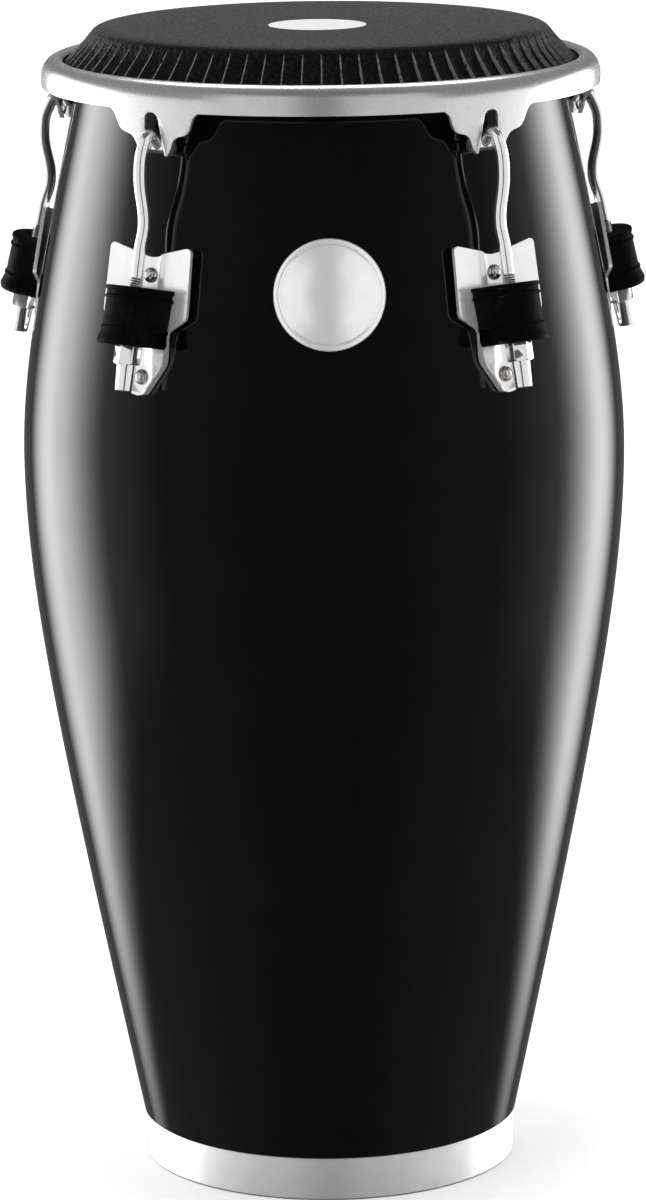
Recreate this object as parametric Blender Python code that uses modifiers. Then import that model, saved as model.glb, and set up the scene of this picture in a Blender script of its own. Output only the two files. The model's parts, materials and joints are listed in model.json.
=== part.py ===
"""Conga: barrel shell, tuned head, rim with five ears and five tuning stations.

Metres, +Z up. The origin is on the drum's axis, on the surface it stands on.
The front of the drum faces -Y.
"""
import math

import bmesh
import bpy
from mathutils import Matrix, Vector

# Overall
HEIGHT = 0.760
GAP = 0.0003
SEGMENTS = 60
STATIONS = 5
FIRST_STATION = 36.0

# Shell. A drop is a height below the playing face.
SHELL_WALL = 0.0065
BELLY_RADIUS = 0.1984
BELLY_DROP = 0.279
LOWER_TAPER = 0.2175
LOWER_ROUND = 0.1375
UPPER_TAPER = 0.2371
UPPER_ROUND = 0.0932

# Foot
RING_STEP = 0.00111
RING_HEIGHT = 0.0290
RING_SHEET = 0.0013
RING_LIFT = 0.0006
FOOT_THICK = 0.0050
FOOT_WIDTH = 0.0125

# Head
SKIN = 0.0020
SHOULDER_DROP = 0.0085
CREST_INSET = 0.00698
PLEATS = 60
PLEAT_DEPTH = 0.0013
HOOP_CLEAR = 0.0188
HOOP_WIDTH = 0.0070
HOOP_HEIGHT = 0.0070

# Rim
RIM_SHEET = 0.0024
LIP_CLEAR = 0.0032
RIM_REACH = 0.0142
RIM_DROP = 0.0175
BAND_DROP = 0.0360
EAR_DROP = 0.0643
EAR_TUCK = 0.0037
SLOT_HALF = 0.0054

# Tuning lugs
ROD_RADIUS = 0.0040
LUG_TILT = math.radians(12.5)
LUG_DROP = 0.168
LUG_STANDOFF = 0.018552
LUG_BELOW = 0.038
LUG_STRAIGHT = 0.046
BAR_FLATS = 0.0080
BAR_LENGTH = 0.020
BAR_DROP = 0.0595
BAR_TUCK = 0.0106

# Side plates
PLATE_DROP = 0.1205
PLATE_HEIGHT = 0.0945
PLATE_HALF = 0.0328
PLATE_WAIST = 0.0183
PLATE_SHEET = 0.0025
PLATE_RAISE = 0.0030
CHANNEL_FLOOR = 0.0068
CHANNEL_TOP = 0.0092
NOTCH_DEPTH = 0.0085
BOLT_TOP_RISE = 0.0750
BOLT_BOTTOM_RISE = 0.0115

# Brackets and covers, measured along the lug's axis from LUG_Z
BRACKET_FRONT = 0.0130
BRACKET_HALF = 0.0157
BRACKET_SHEET = 0.0025
BRACKET_TOP = 0.0203
BRACKET_BOTTOM = -0.0110
COVER_FRONT = 0.0155
COVER_HALF = 0.0184
COVER_FLARE = 0.0052
COVER_SHEET = 0.0022
COVER_TOP = 0.0234
COVER_BOTTOM = -0.0138
ROD_HOLE = 0.0046

# Nuts and bolts
NUT_FLATS = 0.0150
NUT_HEX = 0.0124
NUT_SLEEVE = 0.0168
NUT_BORE = 0.0044
WASHER_RADIUS = 0.0090
WASHER_THICK = 0.0015
BOLT_RADIUS = 0.0029
BOLT_HOLE = 0.0033
BOLT_HEAD = 0.0050
BOLT_DOME = 0.0030
BACKING_HALF = 0.0140
BACKING_THICK = 0.0020
FLANGE_RADIUS = 0.0070
FLANGE_NUT_FLATS = 0.0100
FLANGE_NUT_HEIGHT = 0.0060

# Badge
BADGE_RADIUS = 0.0353
BADGE_DROP = 0.1476
BADGE_TURN = 1.35
BADGE_SHEET = 0.0014
BADGE_BORDER = 0.0008

# Heights that follow
BELLY_HEIGHT = HEIGHT - BELLY_DROP
RIM_CREST = HEIGHT - RIM_DROP
BAND_BOTTOM = HEIGHT - BAND_DROP
EAR_BOTTOM = HEIGHT - EAR_DROP
LUG_Z = HEIGHT - LUG_DROP
BAR_Z = HEIGHT - BAR_DROP
PLATE_TOP = HEIGHT - PLATE_DROP
PLATE_BOTTOM = PLATE_TOP - PLATE_HEIGHT
BOLT_TOP_Z = PLATE_BOTTOM + BOLT_TOP_RISE
BOLT_BOTTOM_Z = PLATE_BOTTOM + BOLT_BOTTOM_RISE
BADGE_Z = HEIGHT - BADGE_DROP


for item in list(bpy.data.objects):
    bpy.data.objects.remove(item, do_unlink=True)

parts = bpy.data.collections.new("conga")
cutters = bpy.data.collections.new("conga_cutters")
bpy.context.scene.collection.children.link(parts)
bpy.context.scene.collection.children.link(cutters)


def material(name, colour, roughness, metallic):
    mat = bpy.data.materials.new(name)
    mat.use_nodes = True
    shader = mat.node_tree.nodes["Principled BSDF"]
    shader.inputs["Base Color"].default_value = (*colour, 1.0)
    shader.inputs["Roughness"].default_value = roughness
    shader.inputs["Metallic"].default_value = metallic
    return mat


LACQUER = ("black_lacquer", (0.006, 0.006, 0.007), 0.08, 0.0)
CHROME = ("chrome", (0.80, 0.80, 0.81), 0.10, 1.0)
SATIN = ("satin_metal", (0.62, 0.62, 0.63), 0.34, 1.0)
ZINC = ("zinc_steel", (0.48, 0.49, 0.50), 0.38, 1.0)
RUBBER = ("black_rubber", (0.014, 0.014, 0.015), 0.55, 0.0)
HIDE = ("head_skin", (0.045, 0.046, 0.050), 0.62, 0.0)


def shell_radius(z):
    """Outer radius of the barrel at height z: a hyperbola on each side of the belly."""
    rise = z - BELLY_HEIGHT
    if rise < 0:
        taper, bend = LOWER_TAPER, LOWER_ROUND
    else:
        taper, bend = UPPER_TAPER, UPPER_ROUND
    return BELLY_RADIUS - taper * (math.hypot(bend, rise) - bend)


def shell_slope(z):
    """Lean of the barrel's surface from the vertical at height z, in radians."""
    step = 0.0005
    return math.atan2(shell_radius(z - step) - shell_radius(z + step), 2 * step)


def add_object(name, mesh, look, collection=parts):
    obj = bpy.data.objects.new(name, mesh)
    collection.objects.link(obj)
    if look is None:
        obj.hide_render = True
        obj.display_type = "WIRE"
    elif not mesh.materials:
        mesh.materials.append(material(name + "_" + look[0], *look[1:]))
    return obj


def smooth(mesh, angle=35.0):
    mesh.shade_smooth()
    mesh.set_sharp_from_angle(angle=math.radians(angle))


def apply_modifiers(obj):
    """Turns the object's evaluated shape into its own mesh."""
    bpy.context.view_layer.update()
    graph = bpy.context.evaluated_depsgraph_get()
    mesh = bpy.data.meshes.new_from_object(obj.evaluated_get(graph), depsgraph=graph)
    obj.modifiers.clear()
    old = obj.data
    obj.data = mesh
    mesh.name = obj.name
    if old.users == 0:
        bpy.data.meshes.remove(old)
    return obj


def weld(mesh, distance=0.00001):
    """Joins doubled points, drops slivers and cuts the many-sided faces into triangles."""
    form = bmesh.new()
    form.from_mesh(mesh)
    bmesh.ops.remove_doubles(form, verts=form.verts, dist=distance)
    bmesh.ops.dissolve_degenerate(form, edges=form.edges, dist=distance)
    wide = [face for face in form.faces if len(face.verts) > 4]
    bmesh.ops.triangulate(form, faces=wide, ngon_method="BEAUTY")
    bmesh.ops.recalc_face_normals(form, faces=form.faces)
    form.to_mesh(mesh)
    form.free()
    return mesh


def turned(name, profile, look, segments=SEGMENTS, closed=True, collection=parts):
    """A profile of (radius, height) points turned about Z. A closed one is a ring."""
    mesh = bpy.data.meshes.new(name)
    form = bmesh.new()
    points = [form.verts.new((r, 0.0, z)) for r, z in profile]
    for first, second in zip(points, points[1:]):
        form.edges.new((first, second))
    if closed:
        form.edges.new((points[-1], points[0]))
    form.to_mesh(mesh)
    form.free()
    obj = add_object(name, mesh, look, collection)
    screw = obj.modifiers.new("Turn", "SCREW")
    screw.steps = segments
    screw.render_steps = segments
    screw.use_merge_vertices = True
    screw.merge_threshold = 0.00001
    screw.use_smooth_shade = True
    apply_modifiers(obj)
    weld(obj.data)
    smooth(obj.data)
    return obj


def boolean(obj, other, operation):
    change = obj.modifiers.new("Cut", "BOOLEAN")
    change.operation = operation
    change.solver = "EXACT"
    change.object = other
    apply_modifiers(obj)
    bpy.data.objects.remove(other, do_unlink=True)
    return obj


def rod_along(name, start, end, radius, sides, look=None, collection=cutters):
    """A straight round bar between two points."""
    form = bmesh.new()
    span = Vector(end) - Vector(start)
    bmesh.ops.create_cone(
        form, cap_ends=True, segments=sides, radius1=radius, radius2=radius, depth=span.length
    )
    turn = span.to_track_quat("Z", "Y").to_matrix().to_4x4()
    place = Matrix.Translation((Vector(start) + Vector(end)) / 2) @ turn
    bmesh.ops.transform(form, matrix=place, verts=form.verts)
    mesh = bpy.data.meshes.new(name)
    form.to_mesh(mesh)
    form.free()
    return add_object(name, mesh, look, collection)


def prism(name, outline, thickness, look=None, collection=cutters):
    """A flat outline of (x, z) points, extruded half its thickness to each side of y = 0."""
    curve = bpy.data.curves.new(name, "CURVE")
    curve.dimensions = "2D"
    curve.fill_mode = "BOTH"
    curve.extrude = thickness / 2
    line = curve.splines.new("POLY")
    line.points.add(len(outline) - 1)
    for point, (x, z) in zip(line.points, outline):
        point.co = (x, z, 0.0, 1.0)
    line.use_cyclic_u = True
    flat = bpy.data.objects.new(name + "_outline", curve)
    collection.objects.link(flat)
    flat.rotation_euler = (math.radians(90), 0, 0)
    bpy.context.view_layer.update()
    graph = bpy.context.evaluated_depsgraph_get()
    mesh = bpy.data.meshes.new_from_object(flat.evaluated_get(graph), depsgraph=graph)
    mesh.transform(flat.matrix_world)
    weld(mesh)
    bpy.data.objects.remove(flat, do_unlink=True)
    mesh.name = name
    return add_object(name, mesh, look, collection)


def solidify(obj, thickness, offset):
    change = obj.modifiers.new("Sheet", "SOLIDIFY")
    change.thickness = thickness
    change.offset = offset
    change.use_even_offset = True
    apply_modifiers(obj)
    return obj


def arc(centre, radius, start, end, count):
    """Points on an arc, angles in degrees."""
    angles = [start + (end - start) * i / (count - 1) for i in range(count)]
    return [
        (
            centre[0] + radius * math.cos(math.radians(a)),
            centre[1] + radius * math.sin(math.radians(a)),
        )
        for a in angles
    ]


# Radii that follow from the barrel's surface
crest_z = HEIGHT - SKIN - GAP
shoulder_z = crest_z - SHOULDER_DROP
RING_RADIUS = shell_radius(RING_HEIGHT + GAP) - RING_STEP
CREST_RADIUS = shell_radius(shoulder_z) - CREST_INSET
HOOP_INNER = CREST_RADIUS + HOOP_CLEAR
LIP_RADIUS = HOOP_INNER + LIP_CLEAR
RIM_RADIUS = LIP_RADIUS + RIM_REACH
EAR_TIP_RADIUS = RIM_RADIUS - EAR_TUCK
BAR_RADIUS = RIM_RADIUS - BAR_TUCK

# Foot: a rubber ring that the drum stands on, and the metal ring around it
ring_inner = RING_RADIUS - RING_SHEET
spigot = ring_inner - GAP
base_ring = turned(
    "base_ring",
    [
        (RING_RADIUS - 0.0004, RING_HEIGHT),
        (RING_RADIUS, RING_HEIGHT - 0.0008),
        (RING_RADIUS, RING_LIFT + 0.0008),
        (RING_RADIUS - 0.0006, RING_LIFT),
        (ring_inner, RING_LIFT),
        (ring_inner, RING_HEIGHT),
    ],
    SATIN,
)
foot_ring = turned(
    "foot_ring",
    [
        (spigot, FOOT_THICK),
        (spigot, 0.0),
        (spigot - FOOT_WIDTH, 0.0),
        (spigot - FOOT_WIDTH, FOOT_THICK),
    ],
    RUBBER,
)

# Shell: outer side down, then up the inner side to the rounded bearing edge
foot_top = FOOT_THICK + GAP
upper_heights = [BAR_Z] + [LUG_Z + PLATE_HEIGHT * share for share in (0.62, 0.30, -0.02, -0.34)]
upper_heights += [PLATE_BOTTOM - 0.16 * PLATE_HEIGHT]
outer_heights = upper_heights + [BELLY_HEIGHT * share for share in (1.02, 0.915, 0.77, 0.56, 0.33)]
inner_heights = [BELLY_HEIGHT * share for share in (0.21, 0.56, 0.83, 0.975)] + upper_heights[::-1]
shell_profile = [(CREST_RADIUS, crest_z), (CREST_RADIUS + 0.0018, crest_z - 0.0019)]
shell_profile += [(shell_radius(shoulder_z), shoulder_z)]
shell_profile += [(shell_radius(z), z) for z in outer_heights]
shell_profile += [(shell_radius(RING_HEIGHT + GAP), RING_HEIGHT + GAP)]
shell_profile += [(spigot, RING_HEIGHT + GAP), (spigot, foot_top)]
shell_profile += [(spigot - SHELL_WALL, foot_top)]
shell_profile += [(shell_radius(z) - SHELL_WALL, z) for z in inner_heights]
shell_profile += [(shell_radius(shoulder_z) - SHELL_WALL - 0.0012, crest_z - 0.0050)]
shell = turned("shell", shell_profile, LACQUER)

# Flesh hoop, under the skin's edge
hoop_outer = HOOP_INNER + HOOP_WIDTH
hoop_top = RIM_CREST - RIM_SHEET - GAP - 0.0012 - GAP - 0.0030
hoop_bottom = hoop_top - HOOP_HEIGHT
flesh_hoop = turned(
    "flesh_hoop",
    [
        (hoop_outer - 0.001, hoop_top),
        (hoop_outer, hoop_top - 0.001),
        (hoop_outer, hoop_bottom),
        (HOOP_INNER, hoop_bottom),
        (HOOP_INNER, hoop_top - 0.001),
        (HOOP_INNER + 0.001, hoop_top),
    ],
    ZINC,
)


def pleated_skin():
    """The playing face and its collar, with knife pleats cut in the collar's outer side."""
    wrap = 0.0011
    outside = [
        (CREST_RADIUS - 0.0037, HEIGHT, 0.0),
        (CREST_RADIUS + 0.0015, HEIGHT - 0.0020, 0.0),
        (LIP_RADIUS - 0.0016, HEIGHT - 0.0190, 1.0),
        (LIP_RADIUS - 0.0006, hoop_top + GAP + wrap + 0.0017, 0.6),
        (LIP_RADIUS + 0.0012, hoop_top + GAP + wrap, 0.0),
        (hoop_outer + GAP + wrap - 0.0006, hoop_top + GAP + wrap - 0.0006, 0.0),
        (hoop_outer + GAP + wrap, hoop_bottom + 0.0010, 0.0),
    ]
    inside = [
        (hoop_outer + GAP, hoop_bottom + 0.0010),
        (hoop_outer + GAP, hoop_top - 0.0006),
        (hoop_outer - 0.0008, hoop_top + GAP),
        (LIP_RADIUS, hoop_top + GAP),
        (LIP_RADIUS - 0.0028, HEIGHT - 0.0196),
        (CREST_RADIUS + 0.0019, crest_z - 0.0015),
        (CREST_RADIUS, crest_z + GAP),
    ]
    around = PLEATS * 2
    form = bmesh.new()

    def ring(radius, height, depth):
        line = []
        for i in range(around):
            turn = 2 * math.pi * (i + 0.5) / around
            fold = depth * PLEAT_DEPTH * (1 if i % 2 else -1) / 2
            line.append(
                form.verts.new(
                    ((radius + fold * 0.6) * math.cos(turn), (radius + fold * 0.6) * math.sin(turn),
                     height + fold * 0.8)
                )
            )
        return line

    rings = [ring(*level) for level in outside] + [ring(r, z, 0.0) for r, z in inside]
    for upper, lower in zip(rings, rings[1:]):
        for i in range(around):
            j = (i + 1) % around
            form.faces.new((upper[i], lower[i], lower[j], upper[j]))
    top = form.verts.new((0.0, 0.0, HEIGHT))
    bottom = form.verts.new((0.0, 0.0, crest_z + GAP))
    for i in range(around):
        j = (i + 1) % around
        form.faces.new((top, rings[0][i], rings[0][j]))
        form.faces.new((bottom, rings[-1][j], rings[-1][i]))
    bmesh.ops.recalc_face_normals(form, faces=form.faces)
    mesh = bpy.data.meshes.new("head_skin")
    form.to_mesh(mesh)
    form.free()
    smooth(mesh, 20.0)
    return add_object("head_skin", mesh, HIDE)


head_skin = pleated_skin()

# Rim: the band, its rounded edge and the skirt that the ears are cut from
flange_under = hoop_top + GAP + 0.0011 + GAP
inner_band = RIM_RADIUS - RIM_SHEET
rim_profile = [
    (RIM_RADIUS - 0.0098, RIM_CREST),
    (RIM_RADIUS - 0.0048, RIM_CREST - 0.0020),
    (RIM_RADIUS - 0.0012, RIM_CREST - 0.0068),
    (RIM_RADIUS, RIM_CREST - 0.0140),
    (RIM_RADIUS - 0.0010, BAND_BOTTOM - 0.0060),
    (EAR_TIP_RADIUS, EAR_BOTTOM),
    (EAR_TIP_RADIUS - RIM_SHEET, EAR_BOTTOM),
    (RIM_RADIUS - 0.0010 - RIM_SHEET, BAND_BOTTOM - 0.0060),
    (inner_band, RIM_CREST - 0.0140),
    (RIM_RADIUS - 0.0038, flange_under),
    (LIP_RADIUS + 0.0012, flange_under),
    (LIP_RADIUS, flange_under + 0.0028),
    (LIP_RADIUS + 0.0010, RIM_CREST - 0.0012),
]
rim = turned("rim", rim_profile, CHROME)


def ear_outline():
    """Half outline of an ear in (tangent, height), from the slot's arch to the band, mirrored."""
    arch_z = BAND_BOTTOM - 0.0006 - SLOT_HALF
    slot = [(0.0, arch_z + SLOT_HALF)] + arc((0, arch_z), SLOT_HALF, 60, 0, 3)
    slot += [(SLOT_HALF + 0.0009, BAND_BOTTOM - 0.0140), (SLOT_HALF + 0.0022, BAND_BOTTOM - 0.0250)]
    leg = [(0.0084, -0.001), (0.0104, 0.0011), (0.0128, 0.0045), (0.0144, 0.0083)]
    leg += [(0.0160, 0.0109), (0.0190, 0.0127), (0.0236, 0.0139), (0.0264, 0.0158)]
    leg += [(0.0284, 0.0193), (0.0308, 0.0251), (0.0335, 0.0275)]
    half = slot + [(x, EAR_BOTTOM + rise) for x, rise in leg] + [(0.0370, BAND_BOTTOM + 0.002)]
    return half + [(-x, z) for x, z in reversed(half[1:])]


waste = turned(
    "waste",
    [
        (RIM_RADIUS + 0.0076, BAND_BOTTOM),
        (RIM_RADIUS + 0.0076, EAR_BOTTOM - 0.0057),
        (EAR_TIP_RADIUS - 0.0127, EAR_BOTTOM - 0.0057),
        (EAR_TIP_RADIUS - 0.0127, BAND_BOTTOM),
    ],
    None,
    collection=cutters,
)
azimuths = [FIRST_STATION + 360.0 * i / STATIONS for i in range(STATIONS)]
for azimuth in azimuths:
    ear = prism("ear", ear_outline(), 0.040)
    ear.data.transform(
        Matrix.Rotation(math.radians(azimuth), 4, "Z") @ Matrix.Translation((0, -EAR_TIP_RADIUS, 0))
    )
    boolean(waste, ear, "DIFFERENCE")
boolean(rim, waste, "DIFFERENCE")
weld(rim.data)
smooth(rim.data, 32.0)


def badge_mesh():
    """A thin round plate with a raised border, bent to the barrel's curve."""
    bend = shell_radius(BADGE_Z)
    form = bmesh.new()
    levels = [
        (BADGE_RADIUS, 0.0),
        (BADGE_RADIUS - 0.0006, BADGE_BORDER),
        (BADGE_RADIUS - 0.0026, BADGE_BORDER),
        (BADGE_RADIUS - 0.0032, 0.0002),
        (BADGE_RADIUS * 0.55, 0.0006),
    ]
    count = 30
    rings = []
    for radius, lift in levels:
        line = []
        for i in range(count):
            turn = 2 * math.pi * i / count
            x, z = radius * math.cos(turn), radius * math.sin(turn)
            sag = bend - math.sqrt(bend * bend - x * x)
            line.append(form.verts.new((x, sag - lift, z)))
        rings.append(line)
    for outer, inner in zip(rings, rings[1:]):
        for i in range(count):
            j = (i + 1) % count
            form.faces.new((outer[i], outer[j], inner[j], inner[i]))
    centre = form.verts.new((0.0, -0.0009, 0.0))
    for i in range(count):
        form.faces.new((rings[-1][i], rings[-1][(i + 1) % count], centre))
    mesh = bpy.data.meshes.new("badge")
    form.to_mesh(mesh)
    form.free()
    return mesh


badge = add_object("badge", badge_mesh(), CHROME)
solidify(badge, BADGE_SHEET, -1.0)
smooth(badge.data, 30.0)
lean = shell_slope(BADGE_Z)
badge_seat = shell_radius(BADGE_Z) + 0.0005 + BADGE_SHEET
turn = math.radians(BADGE_TURN)
badge.location = (badge_seat * math.sin(turn), -badge_seat * math.cos(turn), BADGE_Z)
badge.rotation_euler = (-lean, 0, turn)

# Plate frame: a plane just outside the barrel, on the chord between the plate's ends
run = PLATE_TOP - PLATE_BOTTOM
fall = shell_radius(PLATE_BOTTOM) - shell_radius(PLATE_TOP)
PLATE_TILT = math.atan2(fall, run)


def chord_radius(z):
    return shell_radius(PLATE_BOTTOM) - fall * (z - PLATE_BOTTOM) / run


steps = [PLATE_BOTTOM + run * i / 40 for i in range(41)]
bulge = max((shell_radius(z) - chord_radius(z)) * math.cos(PLATE_TILT) for z in steps)
seat_radius = chord_radius(LUG_Z) + (bulge + GAP) / math.cos(PLATE_TILT)
LUG_RADIUS = seat_radius + LUG_STANDOFF


def along_plate(z):
    """Height z as a distance along the plate from LUG_Z."""
    return (z - LUG_Z) / math.cos(PLATE_TILT)


def plate_outline():
    """Half outline in (tangent, along), from the notch down to the tip, then mirrored."""
    top = along_plate(PLATE_TOP)
    tip = along_plate(PLATE_BOTTOM)
    wing = along_plate(PLATE_BOTTOM + 0.0495)
    half = [
        (0.0, top - NOTCH_DEPTH),
        (0.0048, top - NOTCH_DEPTH + 0.0006),
        (CHANNEL_TOP + 0.0010, top - NOTCH_DEPTH + 0.0026),
        (PLATE_HALF - 0.0050, top - 0.0004),
        (PLATE_HALF - 0.0022, top - 0.0006),
        (PLATE_HALF - 0.0006, top - 0.0028),
        (PLATE_HALF, wing + 0.0030),
        (PLATE_HALF - 0.0010, wing),
        (PLATE_WAIST + 0.0030, wing - 0.0072),
        (PLATE_WAIST + 0.0006, wing - 0.0098),
        (PLATE_WAIST - 0.0006, along_plate(PLATE_BOTTOM + 0.0215)),
        (PLATE_WAIST - 0.0022, along_plate(PLATE_BOTTOM + 0.0180)),
        (0.0052, tip + 0.0016),
        (0.0028, tip),
    ]
    return half + [(-x, z) for x, z in reversed(half[1:])]


def side_plate_mesh():
    """The stamped plate: a channel down its middle between two raised wings."""
    form = bmesh.new()
    form.faces.new([form.verts.new((x, 0.0, z)) for x, z in plate_outline()])
    for x in (-CHANNEL_TOP, -CHANNEL_FLOOR, CHANNEL_FLOOR, CHANNEL_TOP):
        bmesh.ops.bisect_plane(
            form,
            geom=form.verts[:] + form.edges[:] + form.faces[:],
            dist=0.00001,
            plane_co=(x, 0, 0),
            plane_no=(1, 0, 0),
        )
    for vert in form.verts:
        rise = (abs(vert.co.x) - CHANNEL_FLOOR) / (CHANNEL_TOP - CHANNEL_FLOOR)
        vert.co.y = -PLATE_RAISE * min(1.0, max(0.0, rise))
    pulled = bmesh.ops.extrude_face_region(form, geom=form.faces[:])["geom"]
    outer = [item for item in pulled if isinstance(item, bmesh.types.BMVert)]
    bmesh.ops.translate(form, verts=outer, vec=(0, -PLATE_SHEET, 0))
    bmesh.ops.recalc_face_normals(form, faces=form.faces)
    mesh = bpy.data.meshes.new("side_plate")
    form.to_mesh(mesh)
    form.free()
    return mesh


def wing_distance(up):
    """Distance from the lug's axis to the wings' outer face, at a height along the lug."""
    z = LUG_Z + up * math.cos(LUG_TILT)
    axis = LUG_RADIUS - up * math.sin(LUG_TILT)
    face = seat_radius + (PLATE_SHEET + PLATE_RAISE) / math.cos(PLATE_TILT)
    face -= (z - LUG_Z) * math.tan(PLATE_TILT)
    return (axis - face) * math.cos(PLATE_TILT) / math.cos(LUG_TILT - PLATE_TILT)


def wrapped(name, profile, front, half, flare, back, sides=10):
    """A profile of (radius, height) swept half round the lug's axis and on back to the plate.

    The sweep is an oval, `half` wide and `front` deep, and its sides spread by `flare`.
    Front is -Y.
    """
    form = bmesh.new()
    verts = [form.verts.new((r, 0.0, z)) for r, z in profile]
    edges = [form.edges.new(pair) for pair in zip(verts, verts[1:])]
    bmesh.ops.spin(
        form,
        geom=verts + edges,
        cent=(0, 0, 0),
        axis=(0, 0, 1),
        angle=-math.pi,
        steps=sides,
        use_duplicate=False,
    )
    rim_edges = [e for e in form.edges if all(abs(v.co.y) < 1e-6 for v in e.verts)]
    pulled = bmesh.ops.extrude_edge_only(form, edges=rim_edges)["geom"]
    moved = [v for v in pulled if isinstance(v, bmesh.types.BMVert)]
    for vert in moved:
        vert.co.y = 1.0
    reach = max(r for r, z in profile)
    for vert in form.verts:
        x, y, z = vert.co
        if y > 0.5:
            spread = flare * min(1.0, abs(x) / reach)
            vert.co.x = x * half / front + math.copysign(spread, x)
            vert.co.y = wing_distance(z) + back
        else:
            vert.co.x = x * half / front
    bmesh.ops.remove_doubles(form, verts=form.verts, dist=0.00001)
    bmesh.ops.recalc_face_normals(form, faces=form.faces)
    mesh = bpy.data.meshes.new(name)
    form.to_mesh(mesh)
    form.free()
    return mesh


lug_frame = (
    Matrix.Translation((0, -LUG_RADIUS, LUG_Z)) @ Matrix.Rotation(-LUG_TILT, 4, "X")
)
plate_frame = (
    Matrix.Translation((0, -seat_radius, LUG_Z)) @ Matrix.Rotation(-PLATE_TILT, 4, "X")
)


def make_side_plate():
    plate = add_object("side_plate", side_plate_mesh(), CHROME)
    cup = [
        (ROD_HOLE, BRACKET_BOTTOM),
        (BRACKET_FRONT - 0.0014, BRACKET_BOTTOM),
        (BRACKET_FRONT, BRACKET_BOTTOM + 0.0014),
        (BRACKET_FRONT, BRACKET_TOP),
    ]
    bracket = add_object(
        "bracket",
        wrapped("bracket", cup, BRACKET_FRONT, BRACKET_HALF, 0.0, 0.0012, 8),
        None,
        cutters,
    )
    solidify(bracket, BRACKET_SHEET, -1.0)
    bracket.data.transform(plate_frame.inverted() @ lug_frame)
    boolean(plate, bracket, "UNION")
    for z in (BOLT_TOP_Z, BOLT_BOTTOM_Z):
        hole = rod_along(
            "hole", (0, 0.010, along_plate(z)), (0, -0.010, along_plate(z)), BOLT_HOLE, 12
        )
        boolean(plate, hole, "DIFFERENCE")
    weld(plate.data)
    smooth(plate.data, 30.0)
    return plate


def cover_profile():
    """Outer side of the rubber cover: from the rod's hole over the top and down to the lip."""
    r = COVER_FRONT
    return [
        (0.0056, COVER_TOP),
        (r - 0.0006, COVER_TOP),
        (r + 0.0008, COVER_TOP - 0.0016),
        (r, COVER_TOP - 0.0032),
        (r, COVER_TOP - 0.0054),
        (r + 0.0008, COVER_TOP - 0.0067),
        (r, COVER_TOP - 0.0080),
        (r + 0.0003, COVER_BOTTOM + 0.0118),
        (r + 0.0013, COVER_BOTTOM + 0.0104),
        (r + 0.0007, COVER_BOTTOM + 0.0090),
        (r + 0.0027, COVER_BOTTOM + 0.0028),
        (r + 0.0019, COVER_BOTTOM),
    ]


def make_cover():
    cover = add_object(
        "bracket_cover",
        wrapped(
            "bracket_cover", cover_profile(), COVER_FRONT, COVER_HALF, COVER_FLARE, -4 * GAP, 8
        ),
        RUBBER,
    )
    solidify(cover, COVER_SHEET, -1.0)
    smooth(cover.data, 38.0)
    return cover


def lug_point(radius, z):
    """A point given by radius and height, in the lug's own frame."""
    out = (radius - LUG_RADIUS) * math.cos(LUG_TILT) + (z - LUG_Z) * math.sin(LUG_TILT)
    up = (z - LUG_Z) * math.cos(LUG_TILT) - (radius - LUG_RADIUS) * math.sin(LUG_TILT)
    return (0.0, -out, up)


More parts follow.
